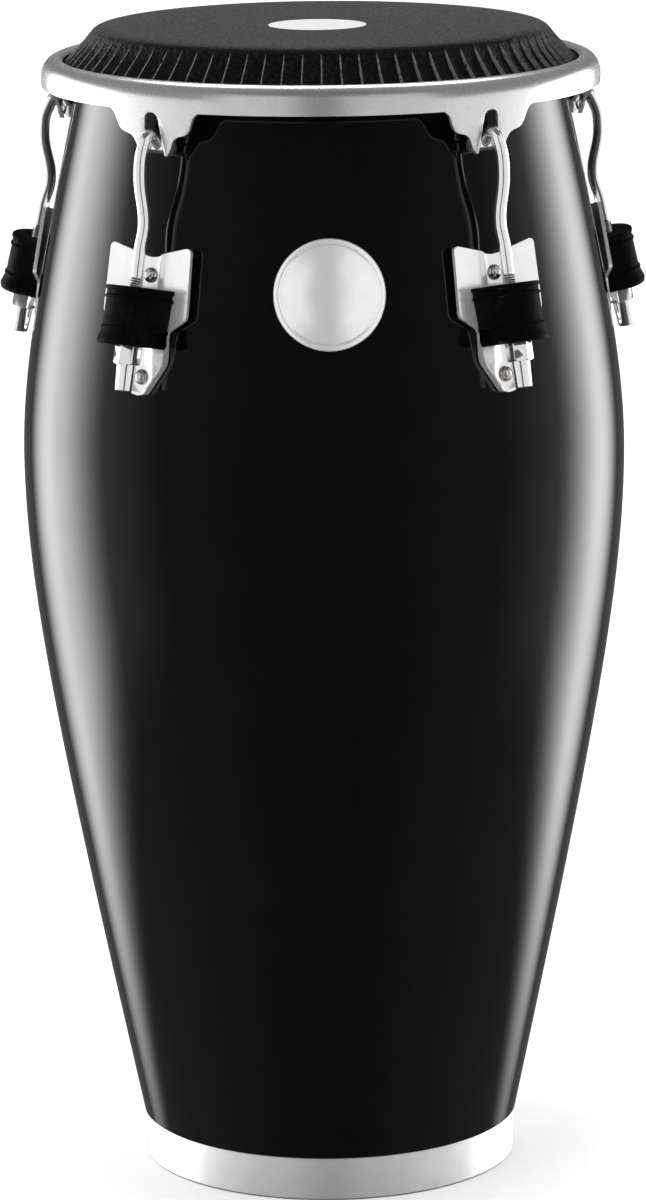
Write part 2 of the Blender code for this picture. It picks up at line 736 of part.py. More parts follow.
def make_lug():
    """The rod: straight and threaded below, a bow above, a hook over the ear's slot."""
    curve = bpy.data.curves.new("tuning_lug", "CURVE")
    curve.dimensions = "3D"
    curve.bevel_depth = ROD_RADIUS
    curve.bevel_resolution = 3
    curve.resolution_u = 3
    curve.use_fill_caps = True
    curve.twist_mode = "MINIMUM"
    line = curve.splines.new("BEZIER")
    bow = [
        lug_point(RIM_RADIUS + 0.0078, BAR_Z - 0.0475),
        lug_point(RIM_RADIUS + 0.0114, BAR_Z - 0.0155),
        lug_point(RIM_RADIUS + 0.0081, BAR_Z + 0.0005),
        lug_point(RIM_RADIUS + 0.0006, BAR_Z + 0.0087),
        lug_point(BAR_RADIUS + 0.0012, BAR_Z + 0.0012),
    ]
    points = [(0, 0, -LUG_BELOW), (0, 0, LUG_STRAIGHT)] + bow
    line.bezier_points.add(len(points) - 1)
    for knot, place in zip(line.bezier_points, points):
        knot.co = place
        knot.handle_left_type = "AUTO"
        knot.handle_right_type = "AUTO"
    for i in (0, 1):
        line.bezier_points[i].handle_left_type = "FREE"
        line.bezier_points[i].handle_right_type = "FREE"
        x, y, z = points[i]
        line.bezier_points[i].handle_left = (x, y, z - 0.006)
        line.bezier_points[i].handle_right = (x, y, z + 0.006)
    line.bezier_points[-1].handle_left_type = "VECTOR"
    rod = bpy.data.objects.new("rod", curve)
    cutters.objects.link(rod)
    bpy.context.view_layer.update()
    graph = bpy.context.evaluated_depsgraph_get()
    mesh = bpy.data.meshes.new_from_object(rod.evaluated_get(graph), depsgraph=graph)
    bpy.data.objects.remove(rod, do_unlink=True)
    weld(mesh)
    mesh.materials.clear()
    mesh.name = "tuning_lug"
    lug = add_object("tuning_lug", mesh, CHROME)
    form = bmesh.new()
    bmesh.ops.create_cone(
        form,
        cap_ends=True,
        segments=6,
        radius1=BAR_FLATS / math.sqrt(3),
        radius2=BAR_FLATS / math.sqrt(3),
        depth=BAR_LENGTH,
    )
    bmesh.ops.rotate(form, verts=form.verts, matrix=Matrix.Rotation(math.radians(90), 3, "Y"))
    bmesh.ops.bevel(
        form,
        geom=[e for e in form.edges if abs(abs(e.verts[0].co.x + e.verts[1].co.x) - BAR_LENGTH) < 1e-5],
        offset=0.0007,
        segments=1,
        affect="EDGES",
    )
    bmesh.ops.translate(form, verts=form.verts, vec=lug_point(BAR_RADIUS, BAR_Z))
    bar_mesh = bpy.data.meshes.new("bar")
    form.to_mesh(bar_mesh)
    form.free()
    bar = add_object("bar", bar_mesh, None, cutters)
    boolean(lug, bar, "UNION")
    weld(lug.data)
    smooth(lug.data, 40.0)
    return lug


def hexagon(form, flats, bottom, top, sides=6):
    bmesh.ops.create_cone(
        form,
        cap_ends=True,
        segments=sides,
        radius1=flats / math.sqrt(3),
        radius2=flats / math.sqrt(3),
        depth=top - bottom,
        matrix=Matrix.Translation((0, 0, (top + bottom) / 2)),
    )


def make_nut():
    """A hexagon with a tapered round sleeve below it, bored through."""
    top = BRACKET_BOTTOM - GAP - WASHER_THICK - GAP
    waist = top - NUT_HEX
    end = waist - NUT_SLEEVE
    form = bmesh.new()
    hexagon(form, NUT_FLATS, waist, top)
    mesh = bpy.data.meshes.new("lug_nut")
    form.to_mesh(mesh)
    form.free()
    nut = add_object("lug_nut", mesh, CHROME)
    sleeve = turned(
        "sleeve",
        [(0.0, waist + 0.002), (0.0062, waist + 0.002), (0.0062, waist - 0.001),
         (0.0055, end + 0.0006), (0.0050, end), (0.0, end)],
        None,
        segments=12,
        closed=False,
        collection=cutters,
    )
    boolean(nut, sleeve, "UNION")
    bore = rod_along("bore", (0, 0, end - 0.002), (0, 0, top + 0.002), NUT_BORE, 12)
    boolean(nut, bore, "DIFFERENCE")
    weld(nut.data)
    smooth(nut.data, 30.0)
    return nut


def make_washer():
    top = BRACKET_BOTTOM - GAP
    return turned(
        "lug_washer",
        [(WASHER_RADIUS, top), (WASHER_RADIUS, top - WASHER_THICK),
         (ROD_HOLE, top - WASHER_THICK), (ROD_HOLE, top)],
        ZINC,
        segments=12,
    )


def make_bolt(length):
    """A domed head outside and a plain shank along +Z into the shell."""
    r = BOLT_HEAD
    profile = [(0.0, -BOLT_DOME), (r * 0.62, -BOLT_DOME * 0.74), (r, 0.0)]
    profile += [(BOLT_RADIUS, 0.0), (BOLT_RADIUS, length), (0.0, length)]
    return turned("plate_bolt", profile, ZINC, segments=12, closed=False)


def make_flange_nut():
    """A hexagon on a round flange. Its seat is at z = 0 and it rises along +Z."""
    form = bmesh.new()
    hexagon(form, FLANGE_NUT_FLATS, 0.0008, FLANGE_NUT_HEIGHT)
    mesh = bpy.data.meshes.new("flange_nut")
    form.to_mesh(mesh)
    form.free()
    nut = add_object("flange_nut", mesh, ZINC)
    flange = rod_along("flange", (0, 0, 0), (0, 0, 0.0015), FLANGE_RADIUS, 12)
    boolean(nut, flange, "UNION")
    bore = rod_along("bore", (0, 0, -0.002), (0, 0, FLANGE_NUT_HEIGHT + 0.002), BOLT_HOLE, 12)
    boolean(nut, bore, "DIFFERENCE")
    return nut


# Backing plates lie on the shell's inner side, their corners just clear of it
BACKING_TOP = PLATE_TOP - 0.0080
BACKING_BOTTOM = PLATE_BOTTOM + 0.0030


def inner_wall(x, z):
    """Depth of the shell's faceted inner side behind the plate frame's plane."""
    radius = shell_radius(z) - SHELL_WALL - x * math.tan(math.pi / SEGMENTS)
    return (seat_radius - radius - (z - LUG_Z) * math.tan(PLATE_TILT)) * math.cos(PLATE_TILT)


backing_depth = GAP * 1.5 + max(
    inner_wall(x, z)
    for x in (0.0, BACKING_HALF)
    for z in [BACKING_BOTTOM + (BACKING_TOP - BACKING_BOTTOM) * i / 20 for i in range(21)]
)


def make_backing():
    form = bmesh.new()
    low, high = along_plate(BACKING_BOTTOM), along_plate(BACKING_TOP)
    bmesh.ops.create_cube(form, size=1.0)
    bmesh.ops.scale(form, vec=(BACKING_HALF * 2, BACKING_THICK, high - low), verts=form.verts)
    bmesh.ops.translate(
        form, vec=(0, backing_depth + BACKING_THICK / 2, (low + high) / 2), verts=form.verts
    )
    mesh = bpy.data.meshes.new("backing_plate")
    form.to_mesh(mesh)
    form.free()
    plate = add_object("backing_plate", mesh, ZINC)
    for z in (BOLT_TOP_Z, BOLT_BOTTOM_Z):
        at = along_plate(z)
        boolean(plate, rod_along("hole", (0, 0, at), (0, 0.040, at), BOLT_HOLE, 12), "DIFFERENCE")
    return plate


nut_seat = backing_depth + BACKING_THICK + GAP
bolt_length = PLATE_SHEET + GAP + nut_seat + FLANGE_NUT_HEIGHT + 0.0015
pieces = {
    "side_plate": make_side_plate(),
    "bracket_cover": make_cover(),
    "tuning_lug": make_lug(),
    "lug_nut": make_nut(),
    "lug_washer": make_washer(),
    "backing_plate": make_backing(),
    "plate_bolt": make_bolt(bolt_length),
    "flange_nut": make_flange_nut(),
}

# Bolt holes through the shell, in each station's plate frame
for azimuth in azimuths:
    spin = Matrix.Rotation(math.radians(azimuth), 4, "Z")
    for z in (BOLT_TOP_Z, BOLT_BOTTOM_Z):
        hole = rod_along(
            "hole", (0, -0.012, along_plate(z)), (0, 0.030, along_plate(z)), BOLT_HOLE, 12
        )
        hole.data.transform(spin @ plate_frame)
        boolean(shell, hole, "DIFFERENCE")
weld(shell.data)
smooth(shell.data, 30.0)


def place(name, source, station, frame, inner=None):
    """A copy of a piece at a station. The mesh is shared, the object is its own."""
    obj = bpy.data.objects.new(name, pieces[source].data)
    parts.objects.link(obj)
    obj.parent = station
    obj.matrix_local = frame @ inner if inner is not None else frame
    return obj


into_shell = Matrix.Rotation(math.radians(-90), 4, "X")
for number, azimuth in enumerate(azimuths, start=1):
    station = bpy.data.objects.new("station_%d" % number, None)
    parts.objects.link(station)
    station.rotation_euler = (0, 0, math.radians(azimuth))
    for source in ("side_plate", "backing_plate"):
        place("%s_%d" % (source, number), source, station, plate_frame)
    for source in ("tuning_lug", "bracket_cover", "lug_nut", "lug_washer"):
        place("%s_%d" % (source, number), source, station, lug_frame)
    for level, z in (("top", BOLT_TOP_Z), ("bottom", BOLT_BOTTOM_Z)):
        head = Matrix.Translation((0, -PLATE_SHEET - GAP, along_plate(z))) @ into_shell
        seat = Matrix.Translation((0, nut_seat, along_plate(z))) @ into_shell
        place("plate_bolt_%s_%d" % (level, number), "plate_bolt", station, plate_frame, head)
        place("flange_nut_%s_%d" % (level, number), "flange_nut", station, plate_frame, seat)

for source in pieces.values():
    bpy.data.objects.remove(source, do_unlink=True)
bpy.context.view_layer.update()
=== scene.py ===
# %% [markdown]
# # Dressing a conga
#
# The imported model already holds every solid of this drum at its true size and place.
# This lesson puts the finished surfaces on it: a lacquered barrel, a chrome rim, a pleated
# head and five tuning stations. Everything is in metres, the drum stands on the floor at
# the origin, and its front faces -Y.

import json
import math

import bpy
from mathutils import Matrix, Vector

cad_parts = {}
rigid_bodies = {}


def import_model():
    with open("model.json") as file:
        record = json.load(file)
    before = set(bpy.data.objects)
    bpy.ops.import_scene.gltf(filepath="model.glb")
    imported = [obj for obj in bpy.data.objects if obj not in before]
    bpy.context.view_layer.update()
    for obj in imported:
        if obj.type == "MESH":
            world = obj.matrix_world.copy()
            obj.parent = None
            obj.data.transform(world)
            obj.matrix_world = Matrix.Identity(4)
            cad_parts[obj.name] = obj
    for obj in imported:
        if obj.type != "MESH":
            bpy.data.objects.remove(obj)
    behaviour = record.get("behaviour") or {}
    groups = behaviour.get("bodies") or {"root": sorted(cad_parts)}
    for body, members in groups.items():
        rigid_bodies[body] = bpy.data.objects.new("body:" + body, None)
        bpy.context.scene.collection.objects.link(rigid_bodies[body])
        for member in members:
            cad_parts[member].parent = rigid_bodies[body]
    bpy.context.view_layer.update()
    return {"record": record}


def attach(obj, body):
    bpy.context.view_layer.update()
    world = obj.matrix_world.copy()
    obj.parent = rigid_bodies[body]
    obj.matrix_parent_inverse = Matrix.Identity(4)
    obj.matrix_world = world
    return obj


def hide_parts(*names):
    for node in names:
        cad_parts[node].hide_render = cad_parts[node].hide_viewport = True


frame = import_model()

# %% [markdown]
# ## Three small habits
#
# Operators act on whatever is selected, so each piece starts with nothing selected. A piece
# that is turned on a lathe or bent in a press starts here as a drawn line: one corner is
# extruded again and again along the profile. The line is then spun round the axis, its
# doubled corners are merged, and only then are the faces told which way is out.


# %% Draw a line by extruding a corner
def deselect():
    bpy.ops.object.select_all(action="DESELECT")


def pick(obj):
    deselect()
    obj.select_set(True)
    bpy.context.view_layer.objects.active = obj


def draw_line(name, points):
    """A chain of edges through the points. The new object is left in edit mode."""
    deselect()
    bpy.ops.mesh.primitive_plane_add(size=0.001)
    obj = bpy.context.object
    obj.name = obj.data.name = name
    bpy.ops.object.mode_set(mode="EDIT")
    bpy.ops.mesh.select_all(action="SELECT")
    bpy.ops.mesh.merge(type="CENTER")
    bpy.ops.transform.translate(value=points[0])
    for start, end in zip(points, points[1:]):
        step = [b - a for a, b in zip(start, end)]
        bpy.ops.mesh.extrude_region_move(TRANSFORM_OT_translate={"value": step})
    return obj


def close_mesh(threshold=0.000001):
    """Merges doubled corners, turns the faces outwards and leaves edit mode."""
    bpy.ops.mesh.select_all(action="SELECT")
    bpy.ops.mesh.remove_doubles(threshold=threshold)
    bpy.ops.mesh.normals_make_consistent(inside=False)
    bpy.ops.object.mode_set(mode="OBJECT")


def turned(name, profile, steps):
    """A line of (radius, height) points spun once round the Z axis."""
    obj = draw_line(name, [(r, 0.0, z) for r, z in profile])
    bpy.ops.mesh.select_all(action="SELECT")
    bpy.ops.mesh.spin(steps=steps, angle=2 * math.pi, center=(0, 0, 0), axis=(0, 0, 1))
    close_mesh()
    return obj


# %% [markdown]
# A pressed or turned piece has no perfectly sharp corner, and a drawn line has nothing else.
# A corner that comes with a rounding becomes a short arc, and a line of a few points is
# carried smoothly through them. Both stay plain lists of points, ready to be drawn.


# %% Round the corners of a drawn profile
def softened(corners, closed=True, pieces=5):
    """(x, z, rounding) corners as a line of points, each rounding a short arc."""
    line = []
    count = len(corners)
    for i, (x, z, rounding) in enumerate(corners):
        if not rounding or (not closed and i in (0, count - 1)):
            line.append((x, z))
            continue
        here = Vector((x, z))
        back = (Vector(corners[i - 1][:2]) - here).normalized()
        on = (Vector(corners[(i + 1) % count][:2]) - here).normalized()
        half = back.angle(on) / 2
        middle = here + (back + on).normalized() * rounding / math.sin(half)
        start = here + back * rounding / math.tan(half) - middle
        end = here + on * rounding / math.tan(half) - middle
        for k in range(pieces + 1):
            spoke = start.lerp(end, k / pieces).normalized() * rounding
            line.append(tuple(middle + spoke))
    return line + line[:1] if closed else line


def flowing(points, pieces):
    """A smooth line through the points, with `pieces` short steps between each two."""
    ends = [points[0]] + list(points) + [points[-1]]
    line = []
    for a, b, c, d in zip(ends, ends[1:], ends[2:], ends[3:]):
        for k in range(pieces):
            t = k / pieces
            line.append(
                tuple(
                    0.5
                    * (
                        2 * q
                        + (r - p) * t
                        + (2 * p - 5 * q + 4 * r - s) * t * t
                        + (3 * q - p - 3 * r + s) * t**3
                    )
                    for p, q, r, s in zip(a, b, c, d)
                )
            )
    return line + [tuple(points[-1])]


# %% [markdown]
# Modifiers do the work of the bench: a boolean cuts, a bevel eases the edges. Each is applied
# at once, so the next step works on real faces. A finished piece then takes the place of its
# solid: it rides on the same body, the solid is hidden, and the piece is given its finish.


# %% Finish a piece
def apply(obj, kind, **settings):
    """Adds a modifier with these settings and applies it."""
    pick(obj)
    change = obj.modifiers.new(kind.title(), kind)
    for key, value in settings.items():
        setattr(change, key, value)
    bpy.ops.object.modifier_apply(modifier=change.name)


def cut(obj, tool, operation="DIFFERENCE"):
    apply(obj, "BOOLEAN", operation=operation, solver="EXACT", object=tool)
    bpy.data.objects.remove(tool, do_unlink=True)


def eased(obj, width, segments, angle):
    """Small rounded edges, as a tumbled or polished piece has."""
    apply(
        obj,
        "BEVEL",
        width=width,
        segments=segments,
        limit_method="ANGLE",
        angle_limit=math.radians(angle),
        use_clamp_overlap=True,
    )


def placed(obj, matrix):
    """Moves the piece and puts its new place into its mesh."""
    pick(obj)
    obj.matrix_world = matrix
    bpy.ops.object.transform_apply(location=True, rotation=True, scale=True)
    return obj


def joined(obj, *others):
    pick(obj)
    for other in others:
        other.select_set(True)
    bpy.ops.object.join()
    return obj


record = frame["record"]
body_of = {n: body for body, nodes in record["behaviour"]["bodies"].items() for n in nodes}


def dress(obj, node, finish, sharp=35.0):
    """The piece stands for its CAD node: same body, the node hidden, and this finish."""
    pick(obj)
    bpy.ops.object.shade_smooth_by_angle(angle=math.radians(sharp))
    obj.data.materials.clear()
    obj.data.materials.append(finish)
    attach(obj, body_of[node])
    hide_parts(node)
    print(obj.name, len(obj.data.polygons), "faces on", body_of[node])


# %% [markdown]
# ## The camera
#
# The photograph was taken from a little above the head, from far away through a long lens.
# Far away matters: it keeps the barrel's sides from spreading. The view leans a touch, as
# the photograph does.

# %% Place the camera
PITCH, YAW, ROLL = (math.radians(v) for v in (12.25, -0.027, -0.526))
EYE_PLACE, LENS, SENSOR = (0.0, -3.59967, 1.159126), 165.95, 36.0
eye = bpy.data.cameras.new("studio_camera")
eye.lens = LENS
eye.sensor_width = SENSOR
eye.clip_end = 60.0
camera = bpy.data.objects.new("studio_camera", eye)
bpy.context.scene.collection.objects.link(camera)
forward = Vector(
    (math.cos(PITCH) * math.sin(YAW), math.cos(PITCH) * math.cos(YAW), -math.sin(PITCH))
)
across = forward.cross(Vector((0, 0, 1))).normalized()
upward = across.cross(forward)
right = across * math.cos(ROLL) + upward * math.sin(ROLL)
upright = upward * math.cos(ROLL) - across * math.sin(ROLL)
camera.matrix_world = Matrix(
    (
        (right.x, upright.x, -forward.x, EYE_PLACE[0]),
        (right.y, upright.y, -forward.y, EYE_PLACE[1]),
        (right.z, upright.z, -forward.z, EYE_PLACE[2]),
        (0.0, 0.0, 0.0, 1.0),
    )
)
bpy.context.scene.camera = camera
print("camera at", [round(v, 3) for v in camera.matrix_world.translation])

# %% [markdown]
# ## Node helpers and shared effects
#
# Real surfaces are never one flat colour. Three effects come back in most finishes, so each
# is built once as a node group: fine marks that run round the drum, as a polishing wheel
# leaves them, faint smears that change the gloss, and a mask of the edges, where handling
# polishes a surface. The groups only give out numbers, and each finish uses them its own way.


# %% Node helpers
def add_node(tree, kind, inputs=None, **settings):
    made = tree.nodes.new(kind)
    for key, value in settings.items():
        setattr(made, key, value)
    for key, value in (inputs or {}).items():
        if isinstance(value, bpy.types.NodeSocket):
            tree.links.new(value, made.inputs[key])
        else:
            made.inputs[key].default_value = value
    return made


def maths(tree, operation, a, b=0.0):
    return add_node(tree, "ShaderNodeMath", {0: a, 1: b}, operation=operation).outputs[0]


def product(tree, *values):
    total = values[0]
    for value in values[1:]:
        total = maths(tree, "MULTIPLY", total, value)
    return total


def total_of(tree, *values):
    total = values[0]
    for value in values[1:]:
        total = maths(tree, "ADD", total, value)
    return total


def distance_of(tree, x, y):
    """How far (x, y) is from the middle."""
    return maths(tree, "SQRT", total_of(tree, product(tree, x, x), product(tree, y, y)))


def spot_on(tree):
    """The place on the piece, in metres."""
    return add_node(tree, "ShaderNodeTexCoord").outputs["Object"]


def noise(tree, spot, scale, detail):
    sockets = {"Vector": spot, "Scale": scale, "Detail": detail}
    return add_node(tree, "ShaderNodeTexNoise", sockets).outputs["Fac"]


def ranged(tree, value, low, high, out_low=0.0, out_high=1.0):
    """The value, mapped from one range to another and held inside it."""
    sockets = {
        "Value": value,
        "From Min": low,
        "From Max": high,
        "To Min": out_low,
        "To Max": out_high,
    }
    return add_node(tree, "ShaderNodeMapRange", sockets, clamp=True).outputs["Result"]


def new_group(name, inputs, outputs):
    tree = bpy.data.node_groups.new(name, "ShaderNodeTree")
    for label, value in inputs.items():
        made = tree.interface.new_socket(label, in_out="INPUT", socket_type="NodeSocketFloat")
        made.default_value = value
    for label in outputs:
        tree.interface.new_socket(label, in_out="OUTPUT", socket_type="NodeSocketFloat")
    return tree, tree.nodes.new("NodeGroupInput"), tree.nodes.new("NodeGroupOutput")


# %% Marks that run round the drum
def make_turning_marks():
    tree, given, out = new_group("turning_marks", {"Lines": 900.0}, ["Height"])
    part = add_node(tree, "ShaderNodeSeparateXYZ", {0: spot_on(tree)}).outputs
    radius = distance_of(tree, part["X"], part["Y"])
    angle = maths(tree, "ARCTAN2", part["Y"], part["X"])
    lines = given.outputs["Lines"]
    grain = add_node(
        tree,
        "ShaderNodeCombineXYZ",
        {
            0: product(tree, radius, lines),
            1: product(tree, angle, 2.0),
            2: product(tree, part["Z"], lines),
        },
    ).outputs[0]
    tree.links.new(noise(tree, grain, 1.0, 3.0), out.inputs["Height"])
    return tree


def make_smears():
    tree, given, out = new_group("smears", {"Scale": 14.0}, ["Amount"])
    spot = spot_on(tree)
    scale = given.outputs["Scale"]
    wide = noise(tree, spot, scale, 4.0)
    small = noise(tree, spot, product(tree, scale, 9.0), 2.0)
    both = product(tree, wide, small)
    tree.links.new(ranged(tree, both, 0.12, 0.42), out.inputs["Amount"])
    return tree


def make_worn_edges():
    tree, given, out = new_group("worn_edges", {"Start": 0.53, "End": 0.62}, ["Mask"])
    sharp = add_node(tree, "ShaderNodeNewGeometry").outputs["Pointiness"]
    mask = ranged(tree, sharp, given.outputs["Start"], given.outputs["End"])
    tree.links.new(mask, out.inputs["Mask"])
    return tree


turning_marks, smears, worn_edges = make_turning_marks(), make_smears(), make_worn_edges()


def effect(tree, group, **values):
    made = add_node(tree, "ShaderNodeGroup", node_tree=group)
    for key, value in values.items():
        made.inputs[key].default_value = value
    return made.outputs[0]


# %% [markdown]
# Every finish starts from the same shader, with its even values on the shader's own sockets.
# Only what changes over the surface comes from nodes: a colour blended by a mask, a gloss
# that wanders a little, and a fine relief.


# %% Begin a finish
def new_finish(name, colour, metallic, roughness, **more):
    """A Principled finish. It returns the material, its node tree and the shader node."""
    made = bpy.data.materials.new(name)
    made.use_nodes = True
    tree = made.node_tree
    shader = next(n for n in tree.nodes if n.type == "BSDF_PRINCIPLED")
    shader.inputs["Base Color"].default_value = (*colour, 1.0)
    shader.inputs["Metallic"].default_value = metallic
    shader.inputs["Roughness"].default_value = roughness
    for key, value in more.items():
        shader.inputs[key.replace("_", " ")].default_value = value
    made.diffuse_color = (*colour, 1.0)
    return made, tree, shader


def blend_colour(tree, factor, first, second):
    made = add_node(tree, "ShaderNodeMix", data_type="RGBA")
    tree.links.new(factor, made.inputs[0])
    for index, value in ((6, first), (7, second)):
        if isinstance(value, bpy.types.NodeSocket):
            tree.links.new(value, made.inputs[index])
        else:
            made.inputs[index].default_value = (*value, 1.0)
    return made.outputs[2]


def bump(tree, shader, height, distance, strength):
    sockets = {"Height": height, "Distance": distance, "Strength": strength}
    made = add_node(tree, "ShaderNodeBump", sockets)
    tree.links.new(made.outputs[0], shader.inputs["Normal"])


# %% [markdown]
# ## The finishes
#
# Black lacquer is almost no colour at all: what the eye reads is the studio in its clear
# top coat. Its gloss varies a little with smears, and the coat has the slight ripple that
# spraying leaves.

# %% Black lacquer, and the laid glass inside the barrel
def make_lacquer():
    made, tree, shader = new_finish("black_lacquer", (0.0016, 0.0016, 0.0018), 0.0, 0.06)
    smear = effect(tree, smears, Scale=9.0)
    tree.links.new(ranged(tree, smear, 0.0, 1.0, 0.045, 0.085), shader.inputs["Roughness"])
    colour = blend_colour(tree, smear, (0.0012, 0.0012, 0.0014), (0.0024, 0.0024, 0.0026))
    tree.links.new(colour, shader.inputs["Base Color"])
    bump(tree, shader, noise(tree, spot_on(tree), 160.0, 1.0), 0.00001, 0.35)
    return made


def make_laid_glass():
    made, tree, shader = new_finish("laid_glass", (0.03, 0.03, 0.028), 0.0, 0.55)
    spot = spot_on(tree)
    strands = add_node(
        tree,
        "ShaderNodeTexVoronoi",
        {"Vector": spot, "Scale": 95.0, "Randomness": 1.0},
        distance="MINKOWSKI",
    ).outputs["Distance"]
    cloud = noise(tree, spot, 22.0, 6.0)
    colour = blend_colour(tree, cloud, (0.014, 0.014, 0.013), (0.07, 0.068, 0.06))
    tree.links.new(colour, shader.inputs["Base Color"])
    tree.links.new(ranged(tree, strands, 0.0, 0.7, 0.4, 0.75), shader.inputs["Roughness"])
    bump(tree, shader, strands, 0.0012, 0.7)
    return made


# %% [markdown]
# Chrome plate on polished steel is nearly a mirror, yet a catalogue photograph shows it
# pale grey, because the plate is very slightly hazy and the studio is white all round. A
# metallic value a little below one gives that pale body under the reflections.

# %% Chrome, satin steel and zinc
def make_metal(name, colour, metallic, roughness, lines, depth, haze=0.06):
    """`lines` is how fine the turning marks are, and `haze` how far the roughness wanders."""
    made, tree, shader = new_finish(name, colour, metallic, roughness)
    smear = effect(tree, smears, Scale=12.0)
    marks = effect(tree, turning_marks, Lines=lines)
    rough = ranged(tree, smear, 0.0, 1.0, roughness - haze / 2, roughness + haze / 2)
    tree.links.new(rough, shader.inputs["Roughness"])
    shade = [v * 0.93 for v in colour]
    tree.links.new(blend_colour(tree, smear, colour, shade), shader.inputs["Base Color"])
    bump(tree, shader, marks, depth, 0.4)
    return made


chrome = make_metal("chrome", (0.92, 0.92, 0.93), 0.93, 0.27, 700.0, 0.0000008)
rod_chrome = make_metal("rod_chrome", (0.94, 0.94, 0.95), 0.96, 0.12, 900.0, 0.000004, 0.04)
plate_chrome = make_metal("plate_chrome", (0.92, 0.92, 0.93), 0.80, 0.17, 500.0, 0.000003)
satin = make_metal("satin_steel", (0.88, 0.88, 0.89), 0.90, 0.44, 1500.0, 0.00001)
zinc = make_metal("zinc_steel", (0.66, 0.65, 0.62), 0.95, 0.24, 1200.0, 0.00001, 0.14)
polished = make_metal("polished_steel", (0.48, 0.45, 0.43), 0.96, 0.12, 1100.0, 0.000004)
brushed = make_metal("brushed_steel", (0.93, 0.92, 0.92), 0.74, 0.24, 1600.0, 0.000001, 0.02)
lacquer, laid_glass = make_lacquer(), make_laid_glass()
print("metals ready")


# %% [markdown]
# The bracket covers and the foot ring are moulded rubber: dark, matte, with a fine moulded
# texture and edges that handling has rubbed a little brighter.

# %% Moulded rubber
def make_rubber():
    made, tree, shader = new_finish(
        "black_rubber", (0.004, 0.004, 0.0045), 0.0, 0.5, Specular_IOR_Level=0.06
    )
    edge = effect(tree, worn_edges)
    smear = effect(tree, smears, Scale=30.0)
    dark = blend_colour(tree, smear, (0.0012, 0.0012, 0.0015), (0.003, 0.003, 0.0035))
    colour = blend_colour(tree, edge, dark, (0.010, 0.010, 0.010))
    tree.links.new(colour, shader.inputs["Base Color"])
    tree.links.new(ranged(tree, smear, 0.0, 1.0, 0.55, 0.75), shader.inputs["Roughness"])
    bump(tree, shader, noise(tree, spot_on(tree), 2600.0, 2.0), 0.00006, 0.4)
    return made


rubber = make_rubber()
print(rubber.name, "ready")

# %% [markdown]
# The head is a thick synthetic skin with a leather-like grain. Voronoi cells give the
# grain's pebbles and a noise breaks them up, so no two look alike. Along each pleat's crease
# the collar gets a thin pale line painted into its colour: a painted highlight, where the
# crease would catch the light. A plain white disc is printed near the head's middle, and a
# narrow step of the distance from the disc's centre masks it.

# %% Grained head with a plain printed disc and painted crease highlights
PLEATS = 80
PRINT_CENTRE = (-0.0020, -0.0045)
PRINT_RADIUS, PRINT_EDGE = 0.0319, 0.0002
CREASE_AT, CREASE_FOOT, CREASE_TOP = 0.035, 0.7375, 0.7590


def make_painted_crease_highlights(tree, part, grain_noise):
    """A mask of thin lines that run down the collar, one to a pleat, broken up in places by the
    grain's noise. It paints a highlight along each crease.
    """
    angle = maths(tree, "ARCTAN2", part["Y"], part["X"])
    pleat = maths(tree, "FRACT", product(tree, angle, PLEATS / (2 * math.pi)))
    beside_crease = maths(tree, "ABSOLUTE", maths(tree, "SUBTRACT", pleat, CREASE_AT))
    return product(
        tree,
        ranged(tree, beside_crease, 0.02, 0.06, 1.0, 0.0),
        ranged(tree, part["Z"], CREASE_FOOT, CREASE_FOOT + 0.0025),
        ranged(tree, part["Z"], CREASE_TOP, CREASE_TOP - 0.0035),
        ranged(tree, grain_noise, 0.25, 0.50),
    )


def make_head_finish():
    made, tree, shader = new_finish(
        "head_skin", (0.006, 0.006, 0.007), 0.0, 0.5, Specular_IOR_Level=0.24
    )
    spot = spot_on(tree)
    pebble = add_node(
        tree, "ShaderNodeTexVoronoi", {"Vector": spot, "Scale": 400.0}, feature="SMOOTH_F1"
    ).outputs["Distance"]
    grain_noise = noise(tree, spot, 420.0, 5.0)
    grain = total_of(tree, product(tree, pebble, 0.7), grain_noise)
    dark, pale = (0.0016, 0.0016, 0.0020), (0.0040, 0.0040, 0.0045)
    skin = blend_colour(tree, noise(tree, spot, 26.0, 4.0), dark, pale)
    skin = blend_colour(tree, ranged(tree, grain, 0.7, 1.1), skin, (0.008, 0.008, 0.009))
    part = add_node(tree, "ShaderNodeSeparateXYZ", {0: spot}).outputs
    # Painted highlight: a pale line down each pleat's crease, blended into the skin's colour.
    skin = blend_colour(tree, make_painted_crease_highlights(tree, part, grain_noise), skin, (0.15, 0.15, 0.16))
    away = distance_of(
        tree,
        maths(tree, "SUBTRACT", part["X"], PRINT_CENTRE[0]),
        maths(tree, "SUBTRACT", part["Y"], PRINT_CENTRE[1]),
    )
    disc = ranged(tree, away, PRINT_RADIUS - PRINT_EDGE, PRINT_RADIUS + PRINT_EDGE, 1.0, 0.0)
    ink = product(tree, disc, ranged(tree, grain_noise, 0.22, 0.34))
    tree.links.new(blend_colour(tree, ink, skin, (0.68, 0.68, 0.67)), shader.inputs["Base Color"])
    tree.links.new(ranged(tree, grain, 0.5, 1.2, 0.42, 0.62), shader.inputs["Roughness"])
    bump(tree, shader, grain, 0.00080, 0.9)
    return made


head_finish = make_head_finish()
print(head_finish.name, "ready, with", PLEATS, "creases")

# %% [markdown]
# ## The barrel
#
# The real shell is glass fibre laid up in a mould, so it is one smooth turned form: narrow
# at the foot, widest above the middle, and drawn in again under the head. Two hyperbolas
# meet at the belly. The profile is drawn once, outside and inside, and spun.

# %% Spin the shell
BELLY_RADIUS, BELLY_HEIGHT = 0.1984, 0.481
SHELL_TOP, SHELL_FOOT, SHELL_WALL = 0.7492, 0.0293, 0.0065
LINING_TOP, LINING_FOOT = 0.7440, 0.0360
STEP_OUT, STEP_IN, STEP_Z = 0.1229, 0.1164, 0.0053
BEARING_EDGE = (0.1462, 0.7577)


